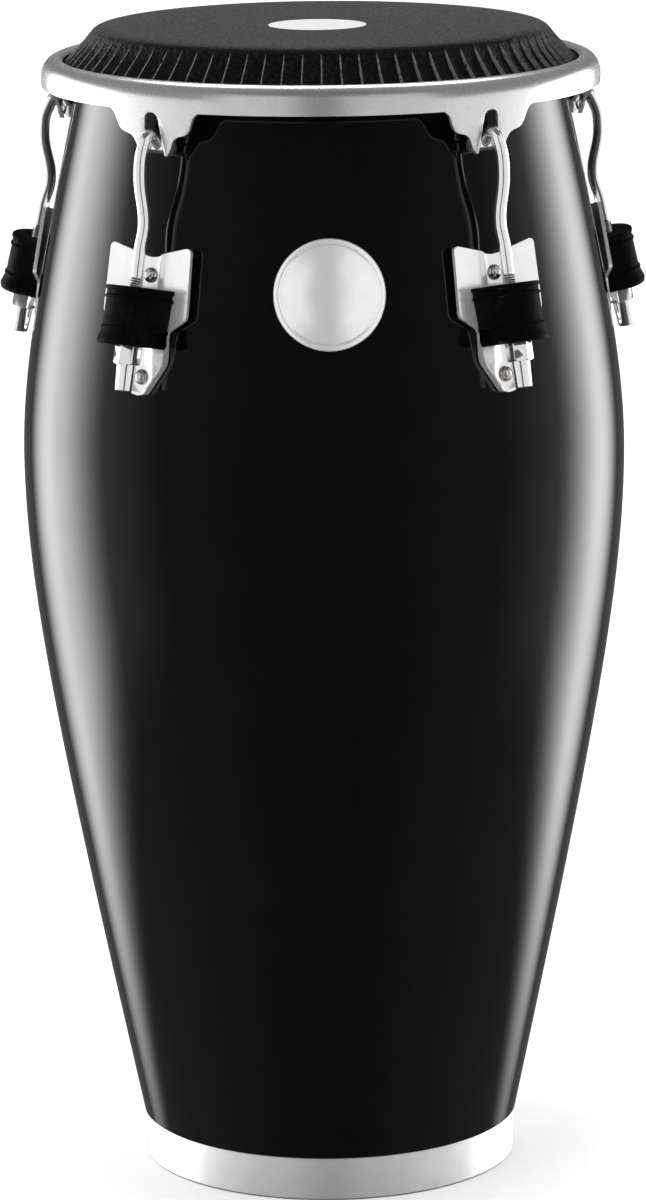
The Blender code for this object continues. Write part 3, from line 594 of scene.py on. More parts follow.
def shell_radius(z):
    rise = z - BELLY_HEIGHT
    taper, bend = (0.2175, 0.1375) if rise < 0 else (0.2371, 0.0932)
    return BELLY_RADIUS - taper * (math.hypot(bend, rise) - bend)


outer_heights = [SHELL_TOP - (SHELL_TOP - SHELL_FOOT) * i / 70 for i in range(71)]
inner_heights = [LINING_FOOT + (LINING_TOP - LINING_FOOT) * i / 40 for i in range(41)]
shoulder = [(0.1469, 0.7573), (0.1480, 0.7558), (shell_radius(SHELL_TOP), SHELL_TOP)]
crest = flowing([BEARING_EDGE] + shoulder, 4)
shell_line = crest[:-1] + [(shell_radius(z), z) for z in outer_heights]
shell_line += [(STEP_OUT, SHELL_FOOT), (STEP_OUT, STEP_Z), (STEP_IN, STEP_Z)]
shell_line += [(shell_radius(z) - SHELL_WALL, z) for z in inner_heights]
shell_line += [(shell_radius(SHELL_TOP) - 0.0077, 0.7527), BEARING_EDGE]
barrel = turned("lacquered_shell", shell_line, 240)
dress(barrel, "shell", lacquer, 40.0)

# %% Give the inside its own finish
LACQUER_END = 0.752
barrel.data.materials.append(laid_glass)
for face in barrel.data.polygons:
    spoke = Vector((face.center.x, face.center.y, 0.0))
    if face.normal.dot(spoke) < 0 and face.center.z < LACQUER_END:
        face.material_index = 1
print(sum(face.material_index for face in barrel.data.polygons), "faces inside the barrel")

# %% [markdown]
# ## Foot
#
# A satin steel band is pressed round the foot, and a rubber ring under the shell keeps the
# drum from sliding. Both are drawn as a small section with eased corners and spun.

# %% Base ring and foot ring
base_line = softened(
    [
        (0.1232, 0.0006, 0.0003),
        (0.1245, 0.0006, 0.0008),
        (0.1245, 0.0290, 0.0009),
        (0.1232, 0.0290, 0.0003),
    ]
)
dress(turned("satin_base_ring", base_line, 240), "base_ring", satin)
foot_line = softened(
    [
        (0.1229, 0.0000, 0.0006),
        (0.1229, 0.0050, 0.0006),
        (0.1104, 0.0050, 0.0006),
        (0.1104, 0.0000, 0.0006),
    ]
)
dress(turned("rubber_foot_ring", foot_line, 240), "foot_ring", rubber)

# %% [markdown]
# ## Head and flesh hoop
#
# The skin is wet when it is tucked round its steel hoop, and the spare cloth of the collar
# lies in knife pleats. One pleat is modelled: the profile is spun through a small angle, its
# outer columns are pushed out to a ridge or in to a fold, and the pleat is then spun on as
# eighty copies, whose edges merge.

# %% Draw the head's profile and spin one pleat
COLUMNS, HEAD_TOP = 10, 0.7616
collar = flowing(
    [(0.1400, HEAD_TOP), (0.1446, 0.7609), (0.1477, 0.7596), (0.1495, 0.7574), (0.1547, 0.7494)], 4
)
collar = collar[:-1] + flowing(
    [(0.1547, 0.7494), (0.1601, 0.7433), (0.1655, 0.7377), (0.1672, 0.7367), (0.1694, 0.7363)], 4
)
head_line = [(r, HEAD_TOP) for r in (0.0, 0.04, 0.08, 0.12)] + collar
head_line += [(0.1728, 0.7361), (0.1734, 0.7350), (0.1734, 0.7293), (0.1723, 0.7293)]
head_line += [(0.1723, 0.7347), (0.1712, 0.7356), (0.1650, 0.7356), (0.1630, 0.7380)]
head_line += [(0.1478, 0.7562), (0.1460, 0.7580), (0.0, 0.7580)]
head = draw_line("pleated_head", [(r, 0.0, z) for r, z in head_line])
bpy.ops.mesh.select_all(action="SELECT")
step_angle = 2 * math.pi / PLEATS
bpy.ops.mesh.spin(steps=COLUMNS, angle=step_angle, center=(0, 0, 0), axis=(0, 0, 1))
close_mesh()
print("one pleat", len(head.data.polygons), "faces,", round(math.degrees(step_angle), 2), "degrees")

# %% Push the columns into a knife pleat
PLEAT_INNER, PLEAT_OUTER, PLEAT_DEPTH, PLEAT_LEAN = 0.1478, 0.1690, 0.0034, 1.6
COLLAR_OUT, COLLAR_UP = 0.62, 0.78
turns = [math.atan2(v.co.y, v.co.x) for v in head.data.vertices if v.co.x > 0.1]
first_turn = min(turns)
for vert in head.data.vertices:
    reach = math.hypot(vert.co.x, vert.co.y)
    column = round((math.atan2(vert.co.y, vert.co.x) - first_turn) / step_angle * COLUMNS)
    if min(math.hypot(r - reach, z - vert.co.z) for r, z in collar) > 0.0001:
        continue
    depth = min(1.0, max(0.0, (reach - PLEAT_INNER) / 0.0080))
    depth *= min(1.0, max(0.0, (PLEAT_OUTER - reach) / 0.0030))
    fold = 0.5 - (column - 1) / (COLUMNS - 1) if column else -0.5
    push = PLEAT_DEPTH * depth * fold
    angle = first_turn + step_angle * (column / COLUMNS) ** PLEAT_LEAN
    reach += push * COLLAR_OUT
    vert.co = (reach * math.cos(angle), reach * math.sin(angle), vert.co.z + push * COLLAR_UP)
pick(head)
bpy.ops.object.mode_set(mode="EDIT")
bpy.ops.mesh.select_all(action="SELECT")
bpy.ops.mesh.spin(
    steps=PLEATS - 1,
    dupli=True,
    angle=step_angle * (PLEATS - 1),
    center=(0, 0, 0),
    axis=(0, 0, 1),
)
close_mesh(0.000005)
dress(head, "head_skin", head_finish, 40.0)

# %% Flesh hoop
hoop_line = softened(
    [
        (0.1650, 0.7283, 0.0012),
        (0.1720, 0.7283, 0.0012),
        (0.1720, 0.7353, 0.0012),
        (0.1650, 0.7353, 0.0012),
    ]
)
dress(turned("steel_flesh_hoop", hoop_line, 180), "flesh_hoop", zinc)

# %% [markdown]
# ## The rim
#
# The rim is spun from steel sheet: a rounded upper edge that is kind to the hands, a band,
# and a skirt. Five ears are left when the skirt is trimmed, each with a slot for its tuning
# lug. It is made here in the same order: spin, then cut the waste away, then ease the edges.

# %% Spin the rim with its whole skirt
rim_outside = flowing(
    [
        (0.1682, 0.7398),
        (0.1692, 0.7413),
        (0.1726, 0.7424),
        (0.1776, 0.7405),
        (0.1812, 0.7357),
        (0.1824, 0.7285),
        (0.1814, 0.7180),
        (0.1787, 0.6957),
    ],
    5,
)
rim_inside = [(0.1763, 0.6957), (0.1790, 0.7180), (0.1800, 0.7285), (0.1786, 0.7370)]
rim_inside += [(0.1694, 0.7370), (0.1682, 0.7398)]
rim = turned("chrome_rim", rim_outside + rim_inside, 240)
print("untrimmed rim", len(rim.data.polygons), "faces")

# %% Cut the skirt back to five ears
STATIONS = [36.0 + 72.0 * i for i in range(5)]
EAR_HALF = [
    (0.0000, 0.7234),
    (0.0028, 0.7227),
    (0.0047, 0.7207),
    (0.0054, 0.7180),
    (0.0058, 0.7140),
    (0.0063, 0.7100),
    (0.0076, 0.6990),
    (0.0084, 0.6948),
    (0.0094, 0.6954),
    (0.0104, 0.6968),
    (0.0128, 0.7002),
    (0.0144, 0.7040),
    (0.0160, 0.7066),
    (0.0190, 0.7084),
    (0.0236, 0.7096),
    (0.0264, 0.7115),
    (0.0284, 0.7150),
    (0.0308, 0.7208),
    (0.0335, 0.7232),
    (0.0370, 0.7262),
]


def prism(name, outline, low, high):
    """A closed (x, z) outline, filled and pulled from y = low to y = high."""
    ring = list(outline) + [outline[0]]
    obj = draw_line(name, [(x, low, z) for x, z in ring])
    bpy.ops.mesh.select_all(action="SELECT")
    bpy.ops.mesh.remove_doubles(threshold=0.000001)
    bpy.ops.mesh.select_all(action="SELECT")
    bpy.ops.mesh.edge_face_add()
    bpy.ops.mesh.extrude_region_move(TRANSFORM_OT_translate={"value": (0, high - low, 0)})
    close_mesh()
    return obj


def mirrored(half):
    """The half outline, and its mirror image run backwards to close it."""
    return list(half) + [(-x, z) for x, z in reversed(half) if abs(x) > 0.00001]


ear_line = flowing(EAR_HALF[:-1], 3) + [EAR_HALF[-1]]
band = [(0.190, 0.7240), (0.190, 0.690), (0.166, 0.690), (0.166, 0.7240), (0.190, 0.7240)]
waste = turned("waste", band, 240)
for azimuth in STATIONS:
    ear = prism("ear", mirrored(ear_line), -0.200, -0.156)
    placed(ear, Matrix.Rotation(math.radians(azimuth), 4, "Z"))
    cut(waste, ear)
cut(rim, waste)
eased(rim, 0.0005, 2, 50.0)
dress(rim, "rim", chrome, 32.0)

# %% [markdown]
# ## One tuning station
#
# The five stations are alike, so each piece is modelled once, at the front, and copied to
# its azimuth. Two places help. The plate's own frame lies on the barrel, and the lug's own
# frame stands on the lug's axis, which leans inwards by twelve and a half degrees.

# %% The station's two frames
PLATE_TOP, PLATE_BOTTOM = 0.6395, 0.5450
LUG_Z, LUG_RADIUS, LUG_TILT = 0.592, 0.2050, math.radians(12.5)
CLEARANCE = 0.0003
run = PLATE_TOP - PLATE_BOTTOM
fall = shell_radius(PLATE_BOTTOM) - shell_radius(PLATE_TOP)
PLATE_TILT = math.atan2(fall, run)


def chord(z):
    """The radius of the straight line between the plate's ends."""
    return shell_radius(PLATE_BOTTOM) - fall * (z - PLATE_BOTTOM) / run


plate_heights = [PLATE_BOTTOM + run * i / 40 for i in range(41)]
bulge = max((shell_radius(z) - chord(z)) * math.cos(PLATE_TILT) for z in plate_heights)
seat = chord(LUG_Z) + (bulge + CLEARANCE) / math.cos(PLATE_TILT)
plate_frame = Matrix.Translation((0, -seat, LUG_Z)) @ Matrix.Rotation(-PLATE_TILT, 4, "X")
lug_frame = Matrix.Translation((0, -LUG_RADIUS, LUG_Z)) @ Matrix.Rotation(-LUG_TILT, 4, "X")
print("plate leans", round(math.degrees(PLATE_TILT), 2), "degrees")


def station_copies(obj, names, nodes, finish, sharp=35.0):
    """Copies a front piece to the five stations, each copy with its own mesh."""
    for azimuth, name, node in zip(STATIONS, names, nodes):
        copy = obj.copy()
        copy.data = obj.data.copy()
        copy.name = copy.data.name = name
        bpy.context.scene.collection.objects.link(copy)
        placed(copy, Matrix.Rotation(math.radians(azimuth), 4, "Z"))
        dress(copy, node, finish, sharp)
    bpy.data.objects.remove(obj, do_unlink=True)


def numbered(stem):
    return [f"{stem}_{i}" for i in range(1, 6)]


# %% [markdown]
# The side plate is stamped: two wings stand proud of a sunken channel, and below the wings
# the channel widens until only a thin raised border is left round the lower bolt. It is
# built from three outlines: the wings' sheet, the walls, and the hollow cut from both.

# %% Side plate
SHEET, RAISE, WALL, SPLAY = 0.0025, 0.0030, 0.0018, 1.10


def along(z):
    """A height as a distance up the leaning plate, from the lug's middle."""
    return (z - LUG_Z) / math.cos(PLATE_TILT)


top, tip, wing = along(PLATE_TOP), along(PLATE_BOTTOM), along(0.5945)
plate_half = [
    (0.0000, top - 0.0085, 0),
    (0.0048, top - 0.0079, 0.003),
    (0.0102, top - 0.0059, 0.002),
    (0.0316, top - 0.0003, 0.003),
    (0.0328, wing + 0.0030, 0),
    (0.0322, wing - 0.0002, 0.0016),
    (0.0196, wing - 0.0088, 0.004),
    (0.0177, along(0.5665), 0.004),
    (0.0161, along(0.5630), 0.002),
    (0.0048, tip + 0.0010, 0.003),
    (0.0000, tip, 0),
]
hollow_half = [
    (0.0000, top + 0.004, 0),
    (0.0088, top + 0.004, 0),
    (0.0080, top - 0.010, 0.002),
    (0.0074, along(0.6040), 0.004),
    (0.0150, along(0.5880), 0.004),
    (0.0163, along(0.5670), 0.003),
    (0.0148, along(0.5637), 0.002),
    (0.0040, tip + 0.0024, 0.002),
    (0.0000, tip + 0.0018, 0),
]


def outline(half):
    return mirrored(softened(half, closed=False, pieces=4))


wings = prism("wings", outline(plate_half), -RAISE, -RAISE - SHEET)
walls_half = [(x + WALL if x else 0.0, z, r) for x, z, r in hollow_half]
walls_half[-1] = (0.0, tip, 0)
walls_half[-2] = (0.0048, tip + 0.0006, 0)
walls = prism("walls", outline(walls_half), 0.0, -RAISE - SHEET)
trim = prism("trim", outline(plate_half), 0.001, -RAISE - SHEET - 0.001)
cut(walls, trim, "INTERSECT")
cut(wings, walls, "UNION")
hollow = prism("hollow", outline(hollow_half), -SHEET, -RAISE - SHEET - 0.002)
for vert in hollow.data.vertices:
    if vert.co.y < -SHEET - 0.001:
        vert.co.x *= SPLAY
cut(wings, hollow)
eased(wings, 0.0006, 3, 40.0)
placed(wings, plate_frame)
station_copies(wings, numbered("stamped_side_plate"), numbered("side_plate"), plate_chrome, 30.0)

# %% [markdown]
# The bracket is welded to the plate and carries the pull of the lug. A rubber cover is
# pushed over it, so only its lower edge shows. Both are half-oval sweeps round the lug's
# axis that run straight back to the plate, where a plane trims them.


# %% Sweep a profile half round the lug
def half_sweep(name, profile, front, half, flare, depth, sheet, gap):
    """Spins the profile by half a turn, pulls its ends back to the plate and thickens it.

    The flare widens the ends at the top and narrows them as much at the bottom."""
    obj = draw_line(name, [(r, 0.0, z) for r, z in profile])
    bpy.ops.mesh.select_all(action="SELECT")
    bpy.ops.mesh.spin(steps=28, angle=math.pi, center=(0, 0, 0), axis=(0, 0, 1))
    bpy.ops.object.mode_set(mode="OBJECT")
    if max(v.co.y for v in obj.data.vertices) > 0.001:
        placed(obj, Matrix.Rotation(math.pi, 4, "Z"))
    pick(obj)
    for edge in obj.data.edges:
        ends = [obj.data.vertices[i].co for i in edge.vertices]
        edge.select = all(abs(end.y) < 0.00001 for end in ends)
    for vert in obj.data.vertices:
        vert.select = abs(vert.co.y) < 0.00001
    for face in obj.data.polygons:
        face.select = False
    bpy.ops.object.mode_set(mode="EDIT")
    bpy.ops.mesh.select_mode(type="EDGE")
    bpy.ops.mesh.extrude_edges_move(TRANSFORM_OT_translate={"value": (0, depth, 0)})
    bpy.ops.mesh.select_mode(type="VERT")
    close_mesh()
    top, bottom = max(z for r, z in profile), min(z for r, z in profile)
    for vert in obj.data.vertices:
        if vert.co.y > depth / 2:
            vert.co.x *= 1 + flare - 2 * flare * ((top - vert.co.z) / (top - bottom)) ** 2
    obj.scale = (half / front, 1, 1)
    pick(obj)
    bpy.ops.object.transform_apply(scale=True)
    placed(obj, lug_frame)
    bpy.ops.object.mode_set(mode="EDIT")
    bpy.ops.mesh.select_all(action="SELECT")
    bpy.ops.mesh.bisect(
        plane_co=plate_frame @ Vector((0, -SHEET - RAISE - gap, 0)),
        plane_no=plate_frame.to_3x3() @ Vector((0, 1, 0)),
        clear_outer=True,
    )
    bpy.ops.object.mode_set(mode="OBJECT")
    apply(obj, "SOLIDIFY", thickness=sheet, offset=-1.0, use_even_offset=True)
    return obj


BRACKET_BOTTOM = -0.0110
cup = softened(
    [
        (0.0046, BRACKET_BOTTOM, 0),
        (0.0130, BRACKET_BOTTOM, 0.0016),
        (0.0130, 0.0203, 0),
    ],
    closed=False,
)
bracket = half_sweep(
    "bracket", cup, front=0.0130, half=0.0157, flare=0.0, depth=0.020, sheet=0.0025, gap=-0.0004
)
station_copies(bracket, numbered("welded_bracket"), numbered("side_plate"), plate_chrome)

# %% [markdown]
# The cover is moulded with a rolled lip, two fine ribs and a wider foot. Those are corners of
# its profile, so the same half sweep makes it, and its ends flare out at the top.

# %% Rubber bracket cover
COVER_TOP, COVER_BOTTOM, FRONT = 0.0234, -0.0138, 0.0155
cover_line = softened(
    [
        (0.0056, COVER_TOP, 0),
        (FRONT + 0.0008, COVER_TOP, 0.0008),
        (FRONT + 0.0008, COVER_TOP - 0.0022, 0.0004),
        (FRONT, COVER_TOP - 0.0030, 0.0004),
        (FRONT, COVER_TOP - 0.0056, 0.0004),
        (FRONT + 0.0008, COVER_TOP - 0.0064, 0.0004),
        (FRONT + 0.0008, COVER_TOP - 0.0074, 0.0004),
        (FRONT, COVER_TOP - 0.0082, 0.0004),
        (FRONT + 0.0003, COVER_BOTTOM + 0.0120, 0.0006),
        (FRONT + 0.0012, COVER_BOTTOM + 0.0110, 0.0004),
        (FRONT + 0.0013, COVER_BOTTOM + 0.0098, 0.0004),
        (FRONT + 0.0007, COVER_BOTTOM + 0.0088, 0.0006),
        (FRONT + 0.0027, COVER_BOTTOM + 0.0026, 0.0014),
        (FRONT + 0.0020, COVER_BOTTOM, 0),
    ],
    closed=False,
    pieces=3,
)
cover = half_sweep(
    "cover",
    cover_line,
    front=FRONT,
    half=0.0188,
    flare=0.18,
    depth=0.0165,
    sheet=0.0022,
    gap=CLEARANCE,
)
eased(cover, 0.0003, 2, 50.0)
station_copies(cover, numbered("rubber_cover"), numbered("bracket_cover"), rubber, 38.0)

# %% [markdown]
# The tuning lug is a steel rod. Its lower end is threaded, it bows outwards to pass the rim,
# and its hook carries a hexagonal cross-bar that lies behind the ear. The rod is a curve
# with a round bevel, made a mesh. The thread is one tooth, carried up by the screw operator.

# %% Tuning lug
BAR_RADIUS, BAR_Z, BAR_FLATS, BAR_LENGTH = 0.1718, 0.7005, 0.0080, 0.020
ROD_RADIUS, THREADED_PART = 0.0040, 0.90


def lug_point(radius, z):
    """A point given by radius and height, in the lug's own frame."""
    out = (radius - LUG_RADIUS) * math.cos(LUG_TILT) + (z - LUG_Z) * math.sin(LUG_TILT)
    up = (z - LUG_Z) * math.cos(LUG_TILT) - (radius - LUG_RADIUS) * math.sin(LUG_TILT)
    return (0.0, -out, up)


stem = [(0, 0, -0.0385), (0, 0, 0.0300), (0, 0, 0.0312), (0, 0, 0.0460)]
bow = [(0.1902, 0.6530), (0.1938, 0.6850), (0.1905, 0.7010), (0.1830, 0.7092)]
bow += [(BAR_RADIUS + 0.0012, BAR_Z + 0.0012)]
places = stem + [lug_point(r, z) for r, z in bow]
deselect()
bpy.ops.curve.primitive_bezier_curve_add()
rod = bpy.context.object
bpy.ops.object.mode_set(mode="EDIT")
bpy.ops.curve.select_all(action="SELECT")
bpy.ops.curve.subdivide(number_cuts=len(places) - 2)
bpy.ops.object.mode_set(mode="OBJECT")
for i, (knot, place) in enumerate(zip(rod.data.splines[0].bezier_points, places)):
    knot.handle_left_type = knot.handle_right_type = "AUTO" if i > 3 else "VECTOR"
    knot.co = place
    knot.radius = THREADED_PART if i < 2 else 1.0
last_straight = rod.data.splines[0].bezier_points[3]
last_straight.handle_left_type = last_straight.handle_right_type = "ALIGNED"
last_straight.handle_left = (0, 0, 0.0410)
last_straight.handle_right = (0, 0, 0.0520)
rod.data.dimensions = "3D"
rod.data.twist_mode = "MINIMUM"
rod.data.resolution_u = 12
rod.data.bevel_depth = ROD_RADIUS
rod.data.bevel_resolution = 6
rod.data.use_fill_caps = True
pick(rod)
bpy.ops.object.convert(target="MESH")
rod = bpy.context.object
print("rod", len(rod.data.polygons), "faces")

# %% Thread and cross-bar
THREAD_PITCH, THREAD_TOP, THREAD_TURNS, THREAD_CORE = 0.001411, 0.0306, 48, 0.00352


def hexagon(flats, height, middle=0.0):
    """A six-sided block round the Z axis, `flats` wide across its flats."""
    bpy.ops.mesh.primitive_cylinder_add(
        vertices=6, radius=flats / math.sqrt(3), depth=height, location=(0, 0, middle)
    )
    block = bpy.context.object
    return placed(block, block.matrix_world.copy())


tooth = [
    (THREAD_CORE, THREAD_TOP - THREAD_PITCH),
    (ROD_RADIUS, THREAD_TOP - THREAD_PITCH / 2),
    (THREAD_CORE, THREAD_TOP),
]
thread = draw_line("thread", [(r, 0.0, z) for r, z in tooth])
bpy.ops.mesh.select_all(action="SELECT")
bpy.ops.mesh.screw(steps=24, turns=THREAD_TURNS, center=(0, 0, 0), axis=(0, 0, 1))
close_mesh()
thread_heights = [v.co.z for v in thread.data.vertices]
print("thread from", round(min(thread_heights), 4), "to", round(max(thread_heights), 4))
bar = hexagon(BAR_FLATS, BAR_LENGTH)
bar_turn = Matrix.Rotation(math.radians(90), 4, "Y") @ Matrix.Rotation(math.radians(30), 4, "Z")
placed(bar, Matrix.Translation(lug_point(BAR_RADIUS, BAR_Z)) @ bar_turn)
eased(bar, 0.0006, 2, 40.0)
lug = placed(joined(rod, thread, bar), lug_frame)
station_copies(lug, numbered("hooked_lug"), numbered("tuning_lug"), rod_chrome, 40.0)

# %% [markdown]
# Below the bracket a washer and a long nut take the pull. The nut is a hexagon that runs
# into a tapered sleeve, so a key can grip it and the lug's end stays covered.

# %% Lug nut and washer
NUT_FLATS, NUT_HEIGHT, SLEEVE_LENGTH, WASHER_SHEET = 0.0150, 0.0124, 0.0168, 0.0015
washer_top = BRACKET_BOTTOM - CLEARANCE
nut_top = washer_top - WASHER_SHEET - CLEARANCE
waist = nut_top - NUT_HEIGHT
sleeve_end = waist - SLEEVE_LENGTH
nut = hexagon(NUT_FLATS, NUT_HEIGHT, nut_top - NUT_HEIGHT / 2)
chamfer_line = [(0.0, waist), (0.0074, waist), (0.0088, waist + 0.0009)]
chamfer_line += [(0.0088, nut_top - 0.0009), (0.0074, nut_top), (0.0, nut_top)]
cut(nut, turned("chamfer", chamfer_line, 72), "INTERSECT")
eased(nut, 0.00025, 2, 25.0)
sleeve_line = softened(
    [
        (0.0000, waist + 0.0010, 0),
        (0.0064, waist + 0.0010, 0),
        (0.0062, waist - 0.0008, 0.0004),
        (0.0055, sleeve_end + 0.0006, 0.0005),
        (0.0050, sleeve_end, 0.0003),
        (0.0043, sleeve_end, 0.0002),
        (0.0042, sleeve_end + 0.0060, 0),
        (0.0000, sleeve_end + 0.0060, 0),
    ],
    closed=False,
    pieces=3,
)
placed(joined(nut, turned("sleeve", sleeve_line, 48)), lug_frame)
station_copies(nut, numbered("long_lug_nut"), numbered("lug_nut"), rod_chrome, 30.0)

washer_line = softened(
    [
        (0.0090, washer_top, 0.0003),
        (0.0090, washer_top - WASHER_SHEET, 0.0003),
        (0.0046, washer_top - WASHER_SHEET, 0.0002),
        (0.0046, washer_top, 0.0002),
    ],
    pieces=3,
)
washer = placed(turned("washer", washer_line, 48), lug_frame)
station_copies(washer, numbered("steel_washer"), numbered("lug_washer"), zinc)

# %% [markdown]
# Two bolts hold each plate. Their domed heads show in the channel, and inside the barrel
# each passes a backing plate and takes a flange nut. The backing plate is flat and the wall
# is round, so the plate is set back until its edges clear the wall.

# %% Where the backing plates and their nuts sit
BACKING_LOW, BACKING_HIGH, BACKING_HALF, BACKING_SHEET = 0.5480, 0.6315, 0.0140, 0.0020


def inner_wall(x, z):
    """How far behind the side plate's back the wall's inner face is, x beside the middle."""
    radius = shell_radius(z) - SHELL_WALL - x * math.tan(math.pi / 60)
    return (seat - radius - (z - LUG_Z) * math.tan(PLATE_TILT)) * math.cos(PLATE_TILT)


backing_depth = 0.00045 + max(
    inner_wall(x, BACKING_LOW + (BACKING_HIGH - BACKING_LOW) * i / 20)
    for x in (0.0, BACKING_HALF)
    for i in range(21)
)
nut_seat = backing_depth + BACKING_SHEET + CLEARANCE
print("backing plate", round(backing_depth * 1000, 2), "mm behind the side plate")

# %% Bolts and flange nuts
DOME_RADIUS, DOME_HEIGHT, BOLT_RADIUS = 0.0050, 0.0030, 0.0029
FLANGE_NUT_HEIGHT, BOLT_END = 0.0060, 0.0015
bolt_length = SHEET + CLEARANCE + nut_seat + FLANGE_NUT_HEIGHT + BOLT_END
dome = [
    (DOME_RADIUS * math.cos(a), -DOME_HEIGHT * math.sin(a))
    for a in (0.0, 0.22, 0.45, 0.7, 0.95, 1.2, 1.4)
]
bolt_line = [(0.0, -DOME_HEIGHT)] + dome[::-1] + [(DOME_RADIUS, 0.0002), (BOLT_RADIUS, 0.0002)]
bolt_line += [(BOLT_RADIUS, bolt_length - 0.0004), (0.0025, bolt_length), (0.0, bolt_length)]
flange_line = softened(
    [
        (0.0033, 0.0, 0),
        (0.0070, 0.0, 0.0003),
        (0.0068, 0.0012, 0.0004),
        (0.0050, 0.0020, 0),
        (0.0033, 0.0020, 0),
        (0.0033, 0.0, 0),
    ],
    closed=False,
    pieces=3,
)
bolt_turn = Matrix.Rotation(math.radians(-90), 4, "X")
for which, z in (("top", 0.6200), ("bottom", 0.5565)):
    bolt = turned("bolt", bolt_line, 40)
    placed(bolt, plate_frame @ Matrix.Translation((0, -SHEET - CLEARANCE, along(z))) @ bolt_turn)
    station_copies(
        bolt, numbered(f"domed_bolt_{which}"), numbered(f"plate_bolt_{which}"), polished, 40.0
    )
    flange_nut = hexagon(0.0100, 0.0052, 0.0034)
    eased(flange_nut, 0.0004, 2, 25.0)
    joined(flange_nut, turned("flange", flange_line, 40))
    placed(flange_nut, plate_frame @ Matrix.Translation((0, nut_seat, along(z))) @ bolt_turn)
    station_copies(
        flange_nut, numbered(f"steel_flange_nut_{which}"), numbered(f"flange_nut_{which}"), zinc
    )

# %% Backing plates
low, high = along(BACKING_LOW), along(BACKING_HIGH)
backing_half = [(0.0, high, 0), (BACKING_HALF, high, 0.003), (BACKING_HALF, low, 0.003)]
backing_half += [(0.0, low, 0)]
backing = prism("backing", outline(backing_half), backing_depth, backing_depth + BACKING_SHEET)
eased(backing, 0.0004, 2, 40.0)
placed(backing, plate_frame)
station_copies(backing, numbered("steel_backing_plate"), numbered("backing_plate"), zinc)

# %% [markdown]
# ## The badge
#
# A thin round plate sits on the front, pressed to the barrel's curve, with a raised border.
# Its field is left bare. It is spun flat, and then each corner is moved back by as much as
# the barrel curves away there.

# %% Badge
BADGE_RADIUS, BADGE_Z, BADGE_SHEET, BADGE_TURN = 0.0353, 0.6124, 0.0014, 1.35
badge_line = softened(
    [
        (0.0000, 0.0010, 0),
        (0.0200, 0.0008, 0),
        (BADGE_RADIUS - 0.0043, -0.0001, 0.0003),
        (BADGE_RADIUS - 0.0034, 0.0008, 0.0003),
        (BADGE_RADIUS - 0.0007, 0.0010, 0.0004),
        (BADGE_RADIUS, 0.0000, 0.0003),
        (BADGE_RADIUS, -0.0012, 0.0002),
        (0.0000, -0.0012, 0),
    ],
    closed=False,
    pieces=3,
)
badge = turned("pressed_badge", badge_line, 120)
placed(badge, Matrix.Rotation(math.radians(90), 4, "X"))
badge_bend = shell_radius(BADGE_Z)
for vert in badge.data.vertices:
    vert.co.y += badge_bend - math.sqrt(badge_bend**2 - vert.co.x**2)
lean = math.atan2(shell_radius(BADGE_Z - 0.0005) - shell_radius(BADGE_Z + 0.0005), 0.001)
badge_seat = badge_bend + 0.0005 + BADGE_SHEET
around = Matrix.Rotation(math.radians(BADGE_TURN), 4, "Z")
forward_place = Matrix.Translation((0, -badge_seat, BADGE_Z)) @ Matrix.Rotation(-lean, 4, "X")
placed(badge, around @ forward_place)
dress(badge, "badge", brushed, 30.0)

# %% [markdown]
# ## The studio
#
# The floor is plain and pale, with the faintest mottle. It casts no shadow and isn't
# mirrored in the drum, so the lacquer shows only the room.

# %% Floor
deselect()
bpy.ops.mesh.primitive_plane_add(size=40.0, location=(0, 10, 0))
floor = bpy.context.object
floor.name = "pale_floor"
floor_finish, tree, shader = new_finish("pale_floor", (0.97, 0.97, 0.97), 0.0, 0.9)
mottle = noise(tree, spot_on(tree), 3.0, 3.0)
pale = blend_colour(tree, mottle, (0.96, 0.96, 0.96), (0.98, 0.98, 0.98))
tree.links.new(pale, shader.inputs["Base Color"])
floor.data.materials.append(floor_finish)
floor.visible_glossy = False
floor.visible_shadow = False
print(floor.name, "ready")

# %% [markdown]
# The light is a white room with two tall soft panels, one at each side and a little behind
# the drum. They draw the bright streaks down the edges of the barrel, and the dark room in
# front keeps its face black. A world made of nodes can hold all of it: the streaks follow
# the direction round the drum, and fade softly towards the head and the foot.

# %% Soft room
PANEL_LIGHT, GLOW_LIGHT, RIGHT_LAG = 5.8, 0.5, 9.0
world = bpy.data.worlds.new("white_room")
bpy.context.scene.world = world
world.use_nodes = True
world.cycles.sampling_method = "NONE"
room = world.node_tree
room.nodes.clear()
ray = add_node(room, "ShaderNodeLightPath").outputs
way = add_node(
    room, "ShaderNodeSeparateXYZ", {0: add_node(room, "ShaderNodeTexCoord").outputs["Generated"]}
).outputs
side = maths(room, "ARCTAN2", way["X"], product(room, way["Y"], -1.0))
side = maths(room, "DEGREES", maths(room, "ABSOLUTE", side))


def soft_edge(tree, value, low, high):
    """0 at `low`, 1 at `high`, eased between them. It falls where `low` is the larger."""
    sockets = {"Value": value, "From Min": low, "From Max": high}
    made = add_node(tree, "ShaderNodeMapRange", sockets, interpolation_type="SMOOTHSTEP")
    return made.outputs["Result"]


